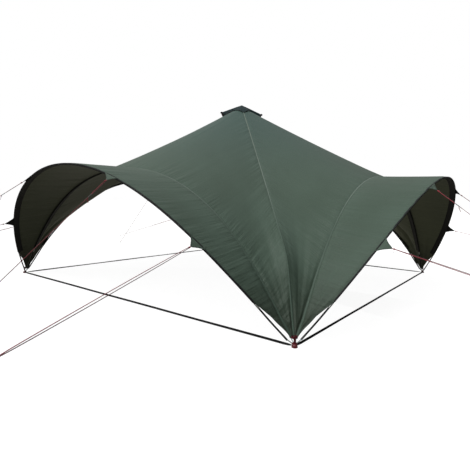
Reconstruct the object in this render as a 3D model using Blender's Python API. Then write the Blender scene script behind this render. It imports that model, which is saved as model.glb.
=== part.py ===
"""Four-sided party tent, a Blender 4.5 script, in metres with +Z up.

The tent stands on a square of side SIDE, centred on the origin, with the ground at z = 0.
Each side has two bent poles from foot to foot: an inner arch that stands nearly upright and
carries the roof, and an edge arch that leans out and carries the awning. Pieces are modelled
for the front side (towards -Y) or the front right corner, and turned about Z for the others.
"""

import math

import bmesh
import bpy
import numpy as np

# The square and the height
SIDE = 5.50
HALF = SIDE / 2
PEAK = 3.16
DIAGONAL = HALF * math.sqrt(2)

# The two arches of a side: angle at the foot, height in their own plane, lean outwards, belly
INNER_ARCH = {"angle": 1.114, "rise": 1.795, "lean": -0.052, "belly": 0.019}
EDGE_ARCH = {"angle": 1.038, "rise": 1.949, "lean": 0.423, "belly": 0.079}

# Poles and the sleeves that hold them
POLE_RADIUS = 0.008
POLE_SIDES = 6
FERRULE_RADIUS = 0.0098
FERRULE_LENGTH = 0.05
FERRULE_TAPER = 0.005
CLEARANCE = 0.0004
CHANNEL = POLE_RADIUS + 3 * CLEARANCE
SLEEVE_WALL = 0.003
SLEEVE_EDGE = CHANNEL + SLEEVE_WALL
SLEEVE_WIDTH = 0.072
SLEEVE_SEAM = 0.009
FREE_POLE_DROP = 0.007

# The cloth, which is drawn thicker than it is, and its cut below the sleeves
CLOTH = 0.004
SEAM_GAP = 0.0002
EDGE_CUT_BACK = 0.035
TIP_WIDTH = 0.012
ROOF_COLUMNS = 5
AWNING_COLUMNS = 3
PULL_ACROSS = 4.0

# Places along half an arch, as shares of its length from the foot to the top
TIP_SHARE = 0.034
SLEEVE_START = 0.168
LOWER_TAB = (0.358, 0.414)
UPPER_TAB = (0.709, 0.765)
STATION_GAP = 0.075

# The hip, from the foot to the peak: a steep line and a flat line with a round bend between
HIP_FOOT_SLOPE = 2.4
HIP_TOP_SLOPE = 0.66
HIP_BEND = 0.066
HIP_FOOT_HEIGHT = 0.10
COLLAR_RADIUS = 0.055

# Guy lines: direction from the tab (along the side, outwards, down), tab length, runner's place
GUYS = {
    "lower": {"at": LOWER_TAB, "way": (0.207, 1.0, 0.22), "tab": 0.13, "runner": 1.87},
    "upper": {"at": UPPER_TAB, "way": (0.234, 1.0, 0.75), "tab": 0.09, "runner": 0.25},
}
LINE_RADIUS = 0.002
LINE_SIDES = 6
KNOT_RADIUS = 0.005
KNOT_LENGTH = 0.012
RUNNER_RADIUS = 0.008
RUNNER_LENGTH = 0.055
LINE_TAPER = 0.006
PEG_RADIUS = 0.006
PEG_TOP = 0.035
PEG_TAPER = 0.03

# The foot under each corner, and its four pins
FOOT_RADIUS = 0.030
FOOT_HEIGHT = 0.036
FOOT_SIDES = 12
HUB_HEIGHT = 0.022
PIN_RADIUS = 0.005
PIN_TIP = 0.010

# The straps between the feet
STRAP_WIDTH = 0.025
STRAP_THICKNESS = 0.002
STRAP_END_HEIGHT = 0.014
STRAP_LOW = 0.0015
STRAP_POINTS = 9

# The cap over the peak: two opposite corners lie on their hips, and two are hoods over theirs
CAP_TOP = PEAK + 0.020
CAP_THICKNESS = 0.004
CAP_SIDE = 0.195
CAP_SLOPE = 0.64
CAP_HOOD = 0.385
CAP_HOOD_LIFT = 0.0215
CAP_HOOD_TURN = math.radians(11)
CAP_LIP = 0.078
CAP_LIP_TURN = math.radians(8)
CAP_LIP_SPREAD = math.radians(3.5)
CAP_TURNS = tuple(math.radians(angle) for angle in (0, 4, 8, 13, 22, 33, 45))
CAP_RINGS = 5

# The pole under the peak
MAST_RADIUS = 0.015
MAST_LOWER_RADIUS = 0.0175
MAST_JOINT = PEAK / 2
MAST_FOOT_RADIUS = 0.06
MAST_FOOT_THICKNESS = 0.010
MAST_SOCKET_RADIUS = 0.026
MAST_SOCKET_HEIGHT = 0.024
MAST_SOCKET_TOP = 0.05
MAST_HEAD_RADIUS = 0.052
MAST_HEAD_HEIGHT = 0.02
MAST_HEAD_CONE = 0.04
MAST_HEAD_DROP = 0.0079
MAST_TIP_RADIUS = 0.016
MAST_TIP_HEIGHT = 0.022
MAST_SIDES = 10

SIDES = ("front", "right", "back", "left")
CORNERS = ("front_right", "back_right", "back_left", "front_left")
MIRROR = np.array([-1.0, 1.0, 1.0])


def station_shares():
    """The cloth's tip, the sleeve's end and the tabs' sides, with even steps between them."""
    marks = (TIP_SHARE, SLEEVE_START, *LOWER_TAB, *UPPER_TAB, 1.0)
    shares = [TIP_SHARE]
    for start, end in zip(marks, marks[1:]):
        steps = math.ceil((end - start) / STATION_GAP)
        shares += [start + (end - start) * step / steps for step in range(1, steps)]
        shares.append(end)
    return shares


STATIONS = station_shares()
HALF_ROWS = len(STATIONS)
SLEEVE_ROW = STATIONS.index(SLEEVE_START)


def clear_scene():
    for old in list(bpy.data.objects):
        bpy.data.objects.remove(old, do_unlink=True)


def finish(name, colour, roughness, metallic=0.0):
    material = bpy.data.materials.new(name)
    material.use_nodes = True
    shader = material.node_tree.nodes["Principled BSDF"]
    shader.inputs["Base Color"].default_value = (*colour, 1.0)
    shader.inputs["Roughness"].default_value = roughness
    shader.inputs["Metallic"].default_value = metallic
    return material


def closed_mesh(name, points, faces, material):
    """A mesh from points and faces, with every face turned outwards."""
    mesh = bpy.data.meshes.new(name)
    mesh.from_pydata([tuple(map(float, point)) for point in points], [], faces)
    work = bmesh.new()
    work.from_mesh(mesh)
    bmesh.ops.recalc_face_normals(work, faces=work.faces)
    work.to_mesh(mesh)
    work.free()
    mesh.materials.append(material)
    mesh.shade_smooth()
    mesh.set_sharp_from_angle(angle=math.radians(35))
    return mesh


def place(name, mesh, turn=0):
    """An object of its own for the mesh, turned by quarter turns about the tent's axis."""
    piece = bpy.data.objects.new(name, mesh)
    piece.rotation_euler = (0.0, 0.0, turn * math.pi / 2)
    bpy.context.collection.objects.link(piece)
    return piece


def place_round(kind, mesh, names):
    """The same mesh four times round the tent, each under its own name."""
    for turn, name in enumerate(names):
        place(kind.format(name), mesh, turn)


def unit(vectors):
    return vectors / np.linalg.norm(vectors, axis=-1, keepdims=True)


def square_to(vectors, ways):
    """The unit vectors, each freed of its share along the way beside it."""
    return unit(vectors - ways * np.sum(vectors * ways, axis=-1, keepdims=True))


def running_length(points):
    steps = np.linalg.norm(np.diff(points, axis=0), axis=1)
    return np.concatenate([[0.0], np.cumsum(steps)])


def along(points, lengths):
    """Points at the given lengths along a line of close points."""
    run = running_length(points)
    return np.stack([np.interp(lengths, run, points[:, i]) for i in range(3)], axis=1)


def bent_pole_line(arch, count=600):
    """Half an arch on the front side, from the right foot to the top, as a bent rod lies.

    A straight rod whose ends are pulled together bends most at its top: its curvature grows
    with the height above the line between its ends.
    """
    angle = arch["angle"]
    step = np.linspace(0.0, 1.0, count)
    slope = angle * (1.0 - step**2)
    height = np.sqrt(np.maximum(2 * (np.cos(slope) - math.cos(angle)), 0.0))
    per_step = np.empty(count)
    per_step[1:] = 2 * angle * step[1:] / height[1:]
    per_step[0] = 2 * angle / math.sqrt(2 * angle * math.sin(angle))
    forward = np.cos(slope) * per_step
    reach = np.concatenate([[0.0], np.cumsum((forward[1:] + forward[:-1]) / 2 * np.diff(step))])
    rise = height / height[-1]
    x = HALF * (1.0 - reach / reach[-1])
    out = arch["rise"] * rise * math.sin(arch["lean"]) + 4 * arch["belly"] * rise * (1.0 - rise)
    z = arch["rise"] * rise * math.cos(arch["lean"])
    return np.stack([x, -HALF - out, z], axis=1)


def mirrored(half):
    """Right half rows from foot to top, followed by the left half rows down to the left foot."""
    return np.concatenate([half, half[-2::-1] * MIRROR])


def arch_stations(arch):
    line = bent_pole_line(arch)
    length = running_length(line)[-1]
    return mirrored(along(line, np.array(STATIONS) * length))


def hip_line(count):
    """Right hip from its low end to the collar at the peak, in the corner's upright plane."""
    radius = np.linspace(DIAGONAL, COLLAR_RADIUS, 2000)
    flat = PEAK - HIP_TOP_SLOPE * radius
    steep = HIP_FOOT_SLOPE * (DIAGONAL - radius)
    height = (flat + steep) / 2 - np.sqrt(((flat - steep) / 2) ** 2 + HIP_BEND**2)
    line = np.stack([radius / math.sqrt(2), -radius / math.sqrt(2), height], axis=1)
    line = line[height >= HIP_FOOT_HEIGHT]
    return along(line, np.linspace(0.0, running_length(line)[-1], count))


def relaxed_roof(hip, seam, rounds=1500):
    """Half a roof panel, rows from the foot to the ridge, columns from the hip to the seam.

    Each inner point settles where the pulls of its four neighbours balance, so the panel is
    a stretched sheet. The last row is the ridge, whose neighbours mirror each other.
    """
    grid = spread_sheet(hip, seam, ROOF_COLUMNS)
    for _ in range(rounds):
        above = np.concatenate([grid[2:], grid[-2:-1] * MIRROR])[:, 1:-1]
        below = grid[:-1, 1:-1]
        sideways = grid[1:, 2:] + grid[1:, :-2]
        settled = (above + below + PULL_ACROSS * sideways) / (2 + 2 * PULL_ACROSS)
        settled[-1, :, 0] = 0.0
        grid[1:, 1:-1] = settled
    return grid


def spread_sheet(inner, outer, columns):
    """A grid of points with straight rows between two lines."""
    share = np.linspace(0.0, 1.0, columns + 1)[None, :, None]
    return inner[:, None] * (1 - share) + outer[:, None] * share


def sheet_normals(grid):
    """Upward normals of a grid whose rows run round the arch and columns run outwards."""
    normals = unit(np.cross(np.gradient(grid, axis=0), np.gradient(grid, axis=1)))
    top = normals[len(grid) // 2, 0, 2]
    return normals if top > 0 else -normals


def sleeve_frames(grid, normals):
    """Directions at a sheet's outer edge: outwards in the sheet, and up from it."""
    arch_way = unit(np.gradient(grid[:, -1], axis=0))
    outwards = square_to(grid[:, -1] - grid[:, -2], arch_way)
    up = unit(np.cross(outwards, arch_way))
    return outwards, up * np.sign(np.sum(up * normals[:, -1], axis=1, keepdims=True))


def pole_centres(edge, outwards, up):
    """A pole's centre line: in its sleeve close under the cloth, and lower where it is free."""
    depth = np.full(len(edge), CHANNEL)
    depth[:SLEEVE_ROW] += FREE_POLE_DROP
    depth[-SLEEVE_ROW:] += FREE_POLE_DROP
    return edge - outwards * SLEEVE_EDGE - up * depth[:, None]


class SleevedCloth:
    """Points and faces of a cloth panel with a pole sleeve under its outer edge.

    under and top are grids of points on the cloth's two faces. Their rows run round the arch
    and their last column is the outer edge. The sleeve is a channel that is open at both ends.
    """

    SECTION = (
        (SLEEVE_EDGE, -SLEEVE_EDGE),
        (-SLEEVE_EDGE, -SLEEVE_EDGE),
        (SLEEVE_EDGE + SLEEVE_SEAM - SLEEVE_WIDTH, CHANNEL),
        (CHANNEL, CHANNEL),
        (CHANNEL, -CHANNEL),
        (-CHANNEL, -CHANNEL),
    )

    def __init__(self, under, top, outwards, up):
        self.rows, self.columns = under.shape[:2]
        self.edge = self.columns - 1
        self.last = self.rows - 1 - SLEEVE_ROW
        self.under = under
        self.up = up
        self.points = [*under.reshape(-1, 3), *top.reshape(-1, 3)]
        self.faces = []
        self.sleeve = {}
        centres = pole_centres(under[:, -1], outwards, up)
        for row in range(SLEEVE_ROW, self.last + 1):
            self.sleeve[row] = [
                self.added(centres[row] + outwards[row] * out + up[row] * rise)
                for out, rise in self.SECTION
            ]

    def added(self, point):
        self.points.append(point)
        return len(self.points) - 1

    def low(self, row, column):
        return row * self.columns + column

    def high(self, row, column):
        return (self.rows + row) * self.columns + column

    def low_to_high(self, row, column, next_row, next_column):
        """A face of the rim, between two neighbouring points."""
        self.faces.append((
            self.low(row, column),
            self.low(next_row, next_column),
            self.high(next_row, next_column),
            self.high(row, column),
        ))

    def add_skins(self):
        for row in range(self.rows - 1):
            for column in range(self.edge):
                corners = ((row, column), (row, column + 1), (row + 1, column + 1), (row + 1, column))
                self.faces.append(tuple(self.high(*corner) for corner in corners))
                if column < self.edge - 1 or not SLEEVE_ROW <= row < self.last:
                    self.add_underside(row, column)

    def add_underside(self, row, column):
        """A face of the underside, which beside a sleeve's end follows the channel's corners."""
        beside_sleeve = column == self.edge - 1
        face = [self.low(row, column), self.low(row + 1, column)]
        if beside_sleeve and row + 1 == SLEEVE_ROW:
            face += self.sleeve[row + 1][2:4]
        face += [self.low(row + 1, column + 1), self.low(row, column + 1)]
        if beside_sleeve and row == self.last:
            face += self.sleeve[row][3:1:-1]
        self.faces.append(tuple(face))

    def add_rim(self, tab_rows):
        for row in range(self.rows - 1):
            self.low_to_high(row, 0, row + 1, 0)
            if row not in tab_rows:
                self.low_to_high(row, self.edge, row + 1, self.edge)
        for column in range(self.edge):
            self.low_to_high(0, column, 0, column + 1)
            self.low_to_high(self.rows - 1, column, self.rows - 1, column + 1)

    def add_sleeve(self, tab_rows):
        edge, inner = self.edge, self.edge - 1
        for row in range(SLEEVE_ROW, self.last):
            here, there = self.sleeve[row], self.sleeve[row + 1]
            if row not in tab_rows:
                self.faces.append((self.low(row, edge), here[0], there[0], self.low(row + 1, edge)))
            self.faces.append((here[0], here[1], there[1], there[0]))
            self.faces.append((here[1], self.low(row, inner), self.low(row + 1, inner), there[1]))
            for a, b in ((2, 3), (3, 4), (4, 5), (5, 2)):
                self.faces.append((here[a], here[b], there[b], there[a]))
        for row in (SLEEVE_ROW, self.last):
            end = self.sleeve[row]
            self.faces.append((self.low(row, inner), end[1], end[5], end[2]))
            self.faces.append((end[1], end[0], end[4], end[5]))
            self.faces.append((end[0], self.low(row, edge), end[3], end[4]))

    def add_tab(self, row, tip):
        """A pointed tab on the outer edge from this row to the next, as wide as the step."""
        pull = unit(tip - (self.under[row, -1] + self.under[row + 1, -1]) / 2)
        over = square_to(self.up[row], pull)
        upper = self.added(tip + over * CLOTH / 2)
        lower = self.added(tip - over * CLOTH / 2)
        here, there = self.sleeve[row][0], self.sleeve[row + 1][0]
        edge = self.edge
        self.faces.append((self.high(row, edge), self.high(row + 1, edge), upper))
        self.faces.append((there, here, lower))
        self.faces.append((self.high(row, edge), upper, lower, here, self.low(row, edge)))
        self.faces.append((self.high(row + 1, edge), self.low(row + 1, edge), there, lower, upper))


def sleeved_cloth(under, normals, outwards, up, tabs):
    """The whole panel as points and faces. tabs gives each tab's row and the point of its tip."""
    panel = SleevedCloth(under, under + normals * CLOTH, outwards, up)
    panel.add_skins()
    panel.add_rim(tabs)
    panel.add_sleeve(tabs)
    for row, tip in tabs.items():
        panel.add_tab(row, tip)
    return panel.points, panel.faces


def cut_back_edge(seam, arch, outwards):
    """The awning's outer edge: on the edge pole, and below its sleeve cut back behind it."""
    edge = arch.copy()
    edge[0] = seam[0] + np.array([0.0, -TIP_WIDTH, 0.0])
    for row in range(1, SLEEVE_ROW):
        edge[row] = arch[row] - outwards[row] * (SLEEVE_EDGE + EDGE_CUT_BACK)
    edge[-SLEEVE_ROW:] = edge[SLEEVE_ROW - 1::-1] * MIRROR
    return edge


def set_sleeve_column(grid, outwards):
    """The last column but one goes to where the inner side of the sleeve is sewn on."""
    wide = np.linalg.norm(grid[:, -1] - grid[:, 0], axis=1) > 2 * SLEEVE_WIDTH
    grid[wide, -2] = grid[wide, -1] - outwards[wide] * SLEEVE_WIDTH


def guy_way(guy, turn):
    """The direction of a guy line, where turn is 1 at the right end of the side and -1 at the left."""
    sideways, out, down = guy["way"]
    return unit(np.array([turn * sideways, -out, -down]))


def guy_tabs(edge):
    """Each guy line's height, end of the side, row of its tab, the tab's tip and the line's way."""
    for height, guy in GUYS.items():
        row = STATIONS.index(guy["at"][0])
        for end, turn, start in (("right", 1, row), ("left", -1, len(edge) - 2 - row)):
            way = guy_way(guy, turn)
            tip = (edge[start] + edge[start + 1]) / 2 + way * guy["tab"]
            yield height, end, start, tip, way


def seam_upright(seam, roof_up, awning_up):
    """At the inner seam: the shared upright of the two panels' walls, and the way outwards."""
    arch_way = unit(np.gradient(seam, axis=0))
    upright = square_to(roof_up + awning_up, arch_way)
    outwards = unit(np.cross(upright, arch_way))
    return upright, outwards * np.sign(-outwards[:, 1:2])


def part_at_hips(roof, normals):
    """Moves a roof panel's first column off the hips' planes and stands its walls upright there."""
    walls = normals[:, 0].copy()
    for row in range(len(roof)):
        if row == HALF_ROWS - 1:
            walls[row] = (0.0, 0.0, 1.0)
            continue
        right_hip = row < HALF_ROWS - 1
        way = np.array([1.0 if right_hip else -1.0, 1.0, 0.0]) / math.sqrt(2)
        walls[row] -= way * np.dot(walls[row], way)
        roof[row, 0] -= way * SEAM_GAP
    normals[:, 0] = unit(walls)


def make_cloth(cloth):
    """Roof panels and awnings. It returns the awning's edge and the two poles' centre lines."""
    seam = arch_stations(INNER_ARCH)
    hip = hip_line(HALF_ROWS - 1)
    collar = np.array([[0.0, hip[-1][1], hip[-1][2]]])
    roof = mirrored(relaxed_roof(np.concatenate([hip, collar]), seam[:HALF_ROWS]))

    arch = arch_stations(EDGE_ARCH)
    spread = spread_sheet(seam, arch, AWNING_COLUMNS)
    awning_out, awning_up = sleeve_frames(spread, sheet_normals(spread))
    edge = cut_back_edge(seam, arch, awning_out)
    awning = spread_sheet(seam, edge, AWNING_COLUMNS)

    roof_normals = sheet_normals(roof)
    awning_normals = sheet_normals(awning)
    upright, seam_out = seam_upright(seam, roof_normals[:, -1], awning_normals[:, 0])
    roof[:, -1] = seam - seam_out * SEAM_GAP
    awning[:, 0] = seam + seam_out * SEAM_GAP
    part_at_hips(roof, roof_normals)

    roof_out, roof_up = sleeve_frames(roof, roof_normals)
    set_sleeve_column(roof, roof_out)
    set_sleeve_column(awning, awning_out)
    roof_normals[:, -1] = upright
    awning_normals[:, 0] = upright
    in_sleeve = slice(SLEEVE_ROW, len(seam) - SLEEVE_ROW)
    awning_normals[in_sleeve, -1] = awning_up[in_sleeve]

    tabs = {row: tip for _, _, row, tip, _ in guy_tabs(edge)}
    roof_panel = sleeved_cloth(roof, roof_normals, roof_out, roof_up, {})
    awning_panel = sleeved_cloth(awning, awning_normals, awning_out, awning_up, tabs)
    place_round("roof_panel_{}", closed_mesh("roof_panel", *roof_panel, cloth), SIDES)
    place_round("awning_{}", closed_mesh("awning", *awning_panel, cloth), SIDES)
    inner_pole = pole_centres(roof[:, -1], roof_out, roof_up)
    edge_pole = pole_centres(arch, awning_out, awning_up)
    return edge, inner_pole, edge_pole


def swept(path, radii, sides):
    """A tube of changing radius along a path, closed by flat ends, as points and faces."""
    path = np.array(path)
    ways = unit(np.gradient(path, axis=0))
    across = np.cross(ways[0], [0.0, 0.0, 1.0])
    points = []
    for here, way, radius in zip(path, ways, radii):
        across = square_to(across, way)
        over = np.cross(way, across)
        for side in range(sides):
            turn = 2 * math.pi * side / sides
            points.append(here + (across * math.cos(turn) + over * math.sin(turn)) * radius)
    faces = [tuple(range(sides)), tuple(len(points) - sides + side for side in range(sides))]
    for base in range(0, len(points) - sides, sides):
        faces += ring_faces(base, base + sides, sides)
    return points, faces


def ring_faces(base, after, sides):
    """Faces between two rings of points that start at the given numbers."""
    following = [(side + 1) % sides for side in range(sides)]
    return [(base + a, base + b, after + b, after + a) for a, b in enumerate(following)]


def turned(profile, sides):
    """A solid turned about Z from (radius, height) pairs, first and last on the axis."""
    points = [(0.0, 0.0, profile[0][1])]
    for radius, height in profile[1:-1]:
        for side in range(sides):
            turn = 2 * math.pi * (side + 0.5) / sides
            points.append((radius * math.cos(turn), radius * math.sin(turn), height))
    points.append((0.0, 0.0, profile[-1][1]))
    top = len(points) - 1
    faces = []
    for base in range(1, top - sides, sides):
        faces += ring_faces(base, base + sides, sides)
    for side in range(sides):
        after = (side + 1) % sides
        faces.append((0, 1 + after, 1 + side))
        faces.append((top - sides + side, top - sides + after, top))
    return points, faces


def ferrule(end, following):
    """Points of a ferrule's two edges and its taper, from a pole's end along the pole."""
    way = unit(following - end)
    return [end, end + way * FERRULE_LENGTH, end + way * (FERRULE_LENGTH + FERRULE_TAPER)]


def make_pole(kind, centres, material):
    """The four bent poles of one kind, each with a ferrule at both ends."""
    path = ferrule(centres[0], centres[1]) + list(centres[1:-1])
    path += ferrule(centres[-1], centres[-2])[::-1]
    thin = len(path) - 4
    radii = [FERRULE_RADIUS] * 2 + [POLE_RADIUS] * thin + [FERRULE_RADIUS] * 2
    place_round(kind + "_{}", closed_mesh(kind, *swept(path, radii, POLE_SIDES), material), SIDES)


def joined(name, solids, material):
    """One mesh from overlapping solids, joined by Boolean unions."""
    pieces = []
    for number, (points, faces) in enumerate(solids):
        mesh = closed_mesh(f"{name}_{number}", points, faces, material)
        pieces.append(place(f"{name}_{number}", mesh))
    for other in pieces[1:]:
        union = pieces[0].modifiers.new("union", "BOOLEAN")
        union.operation = "UNION"
        union.object = other
    graph = bpy.context.evaluated_depsgraph_get()
    whole = bpy.data.meshes.new_from_object(pieces[0].evaluated_get(graph))
    for piece in pieces:
        bpy.data.objects.remove(piece, do_unlink=True)
    work = bmesh.new()
    work.from_mesh(whole)
    bmesh.ops.dissolve_degenerate(work, edges=work.edges, dist=1e-6)
    bmesh.ops.triangulate(work, faces=work.faces)
    work.to_mesh(whole)
    work.free()
    whole.name = name
    return whole


def to_right_side(vector):
    """A vector of the front side's left end, turned a quarter turn to the right side's near end."""
    return np.array([-vector[1], vector[0], vector[2]])


def make_feet(poles, plastic):
    """The corner feet: a domed disc on the ground and four pins, one under each pole end."""
    hub = np.array([HALF, -HALF, HUB_HEIGHT])
    profile = [
        (0.0, 0.0),
        (FOOT_RADIUS, 0.0),
        (FOOT_RADIUS, FOOT_HEIGHT * 0.45),
        (FOOT_RADIUS * 0.85, FOOT_HEIGHT * 0.8),
        (FOOT_RADIUS * 0.5, FOOT_HEIGHT),
        (0.0, FOOT_HEIGHT),
    ]
    dome, dome_faces = turned(profile, FOOT_SIDES)
    solids = [([np.array(point) + hub * (1, 1, 0) for point in dome], dome_faces)]
    for centres in poles:
        near, way = centres[0], unit(centres[1] - centres[0])
        far_side = (to_right_side(centres[-1]), to_right_side(unit(centres[-2] - centres[-1])))
        for end, rise in ((near, way), far_side):
            tip = end - rise * CLEARANCE
            solids.append(swept([hub, tip - rise * PIN_TIP, tip], [PIN_RADIUS] * 3, POLE_SIDES))
    place_round("corner_foot_{}", joined("corner_foot", solids, plastic), CORNERS)


def make_straps(webbing):
    """The straps along the ground between the feet, low in the middle."""
    reach = HALF - FOOT_RADIUS * math.cos(math.pi / FOOT_SIDES) - CLEARANCE
    points = []
    for step in np.linspace(-1.0, 1.0, STRAP_POINTS):
        underside = STRAP_LOW / 2 + (STRAP_END_HEIGHT - STRAP_LOW) * step**2
        for across, thickness in ((-1, 0), (1, 0), (1, 1), (-1, 1)):
            y = across * STRAP_WIDTH / 2 - HALF
            points.append((reach * step, y, underside + thickness * STRAP_THICKNESS))
    faces = [(0, 1, 2, 3), tuple(range(len(points) - 4, len(points)))]
    for base in range(0, len(points) - 4, 4):
        faces += ring_faces(base, base + 4, 4)
    place_round("ground_strap_{}", closed_mesh("ground_strap", points, faces, webbing), SIDES)


def cap_point(turn, share, hooded):
    """A point on the cap, by the turn from its nearest corner and the share of the way out.

    Returned as the distance from the axis and the drop below the apex. The cap is a low square
    pyramid. A hood reaches out from its corner, higher over the hip, and its edges hang down.
    """
    reach = CAP_SIDE / math.cos(math.pi / 4 - abs(turn))
    drop = CAP_SLOPE * reach
    lip = 0.0
    if hooded:
        width = math.exp(-((turn / CAP_HOOD_TURN) ** 4))
        reach += (CAP_HOOD - CAP_SIDE * math.sqrt(2)) * width
        drop -= CAP_HOOD_LIFT * width
        lip = CAP_LIP * math.exp(-(((abs(turn) - CAP_LIP_TURN) / CAP_LIP_SPREAD) ** 2))
    return share * reach, share * drop + share**4 * lip


def make_cap(cloth):
    """The cap over the peak, a thin shell that is open below."""
    turns = [-turn for turn in CAP_TURNS[-2:0:-1]] + list(CAP_TURNS)
    sides = len(turns) * 4
    upper = [(0.0, 0.0, CAP_TOP)]
    for ring in range(1, CAP_RINGS + 1):
        for corner in range(4):
            hooded = corner % 2 == 0
            for turn in turns:
                radius, drop = cap_point(turn, ring / CAP_RINGS, hooded)
                angle = turn + math.pi * (0.25 + corner / 2)
                upper.append((radius * math.cos(angle), radius * math.sin(angle), CAP_TOP - drop))
    lower = [(x, y, z - CAP_THICKNESS) for x, y, z in upper]
    start, rim = len(upper), len(upper) - sides
    faces = ring_faces(rim, start + rim, sides)
    for side in range(sides):
        after = (side + 1) % sides
        faces.append((0, 1 + side, 1 + after))
        faces.append((start, start + 1 + after, start + 1 + side))
    for base in range(1, rim, sides):
        faces += ring_faces(base, base + sides, sides)
        faces += ring_faces(start + base, start + base + sides, sides)
    place("vent_cap", closed_mesh("vent_cap", upper + lower, faces, cloth))


def make_mast(metal):
    """The pole under the peak: foot, wide lower tube, thin upper tube, and head."""
    head = PEAK - HIP_TOP_SLOPE * COLLAR_RADIUS - MAST_HEAD_DROP
    under_cap = CAP_TOP - CAP_THICKNESS
    profile = [
        (0.0, 0.0),
        (MAST_FOOT_RADIUS, 0.0),
        (MAST_FOOT_RADIUS, MAST_FOOT_THICKNESS),
        (MAST_SOCKET_RADIUS, MAST_SOCKET_HEIGHT),
        (MAST_LOWER_RADIUS, MAST_SOCKET_TOP),
        (MAST_LOWER_RADIUS, MAST_JOINT),
        (MAST_RADIUS, MAST_JOINT + MAST_FOOT_THICKNESS),
        (MAST_RADIUS, head - MAST_HEAD_HEIGHT - MAST_HEAD_CONE),
        (MAST_HEAD_RADIUS, head - MAST_HEAD_HEIGHT),
        (MAST_HEAD_RADIUS, head),
        (MAST_TIP_RADIUS, head),
        (MAST_TIP_RADIUS, under_cap - MAST_TIP_HEIGHT),
        (0.0, under_cap - CLEARANCE),
    ]
    place("centre_pole", closed_mesh("centre_pole", *turned(profile, MAST_SIDES), metal))


def guy_path(tip, way, runner):
    """Points and radii of a guy line from its tab to the ground peg, with its runner."""
    start = tip + way * CLEARANCE
    end = start + way * (start[2] - PEG_TOP) / -way[2]
    steps = (
        (0.0, KNOT_RADIUS),
        (KNOT_LENGTH, KNOT_RADIUS),
        (KNOT_LENGTH + LINE_TAPER, LINE_RADIUS),
        (runner, LINE_RADIUS),
        (runner + LINE_TAPER, RUNNER_RADIUS),
        (runner + RUNNER_LENGTH, RUNNER_RADIUS),
        (runner + RUNNER_LENGTH + LINE_TAPER, LINE_RADIUS),
    )
    path = [start + way * distance for distance, _ in steps]
    radii = [radius for _, radius in steps]
    path += [end - way * PEG_TAPER, end, end * (1, 1, 0.6), end * (1, 1, 0)]
    return path, radii + [LINE_RADIUS] + [PEG_RADIUS] * 3


def make_guys(edge, line):
    for height, end, _, tip, way in guy_tabs(edge):
        path, radii = guy_path(tip, way, GUYS[height]["runner"])
        mesh = closed_mesh(f"guy_{height}_{end}", *swept(path, radii, LINE_SIDES), line)
        place_round(f"guy_{height}_{{}}_{end}", mesh, SIDES)


clear_scene()
green_cloth = finish("green_cloth", (0.055, 0.085, 0.065), 0.55)
cap_cloth = finish("cap_cloth", (0.03, 0.075, 0.075), 0.5)
black_pole = finish("black_pole", (0.012, 0.012, 0.013), 0.35)
red_plastic = finish("red_plastic", (0.45, 0.05, 0.03), 0.4)
black_webbing = finish("black_webbing", (0.01, 0.01, 0.01), 0.8)
grey_steel = finish("grey_steel", (0.35, 0.36, 0.37), 0.35, 1.0)
red_line = finish("red_line", (0.35, 0.03, 0.04), 0.7)

awning_edge, inner_centres, edge_centres = make_cloth(green_cloth)
make_pole("edge_pole", edge_centres, black_pole)
make_pole("inner_pole", inner_centres, black_pole)
make_feet((edge_centres, inner_centres), red_plastic)
make_straps(black_webbing)
make_cap(cap_cloth)
make_mast(grey_steel)
make_guys(awning_edge, red_line)
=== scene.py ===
"""The looks of a four-sided party tent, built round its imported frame, in metres with +Z up."""

import math

import bmesh
import bpy
import numpy as np
from mathutils import Matrix


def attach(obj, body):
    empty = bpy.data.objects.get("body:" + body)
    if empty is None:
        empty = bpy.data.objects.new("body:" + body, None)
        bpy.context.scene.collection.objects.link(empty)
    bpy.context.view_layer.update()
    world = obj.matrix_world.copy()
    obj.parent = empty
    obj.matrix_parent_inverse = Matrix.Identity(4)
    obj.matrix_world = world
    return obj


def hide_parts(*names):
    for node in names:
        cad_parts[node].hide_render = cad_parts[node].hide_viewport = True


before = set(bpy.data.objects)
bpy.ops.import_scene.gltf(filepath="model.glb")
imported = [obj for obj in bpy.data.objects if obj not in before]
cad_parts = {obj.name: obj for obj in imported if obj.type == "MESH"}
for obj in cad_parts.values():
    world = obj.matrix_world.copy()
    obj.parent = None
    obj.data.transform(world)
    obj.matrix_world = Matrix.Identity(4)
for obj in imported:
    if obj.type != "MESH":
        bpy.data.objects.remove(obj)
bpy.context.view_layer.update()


# The view: outside the front right corner at head height, with the whole roof in sight. The
# tent stands on a plain pale floor inside a white backdrop. The light is soft and comes mostly
# from above, with one large lamp high on the left.

CAMERA_PLACE = (4.4586, -5.9896, 1.3762)
CAMERA_YAW = -0.64895
CAMERA_PITCH = -0.08562
CAMERA_ROLL = 0.02463
CAMERA_LENS = 29.745
STUDIO_RADIUS = 300.0

camera = bpy.data.objects.new("camera", bpy.data.cameras.new("camera"))
camera.data.lens = CAMERA_LENS
camera.data.clip_end = 4 * STUDIO_RADIUS
camera.matrix_world = (
    Matrix.Translation(CAMERA_PLACE)
    @ Matrix.Rotation(-CAMERA_YAW, 4, "Z")
    @ Matrix.Rotation(math.pi / 2 + CAMERA_PITCH, 4, "X")
    @ Matrix.Rotation(CAMERA_ROLL, 4, "Z")
)
bpy.context.collection.objects.link(camera)
bpy.context.scene.camera = camera
bpy.context.scene.view_settings.view_transform = "Standard"


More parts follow.
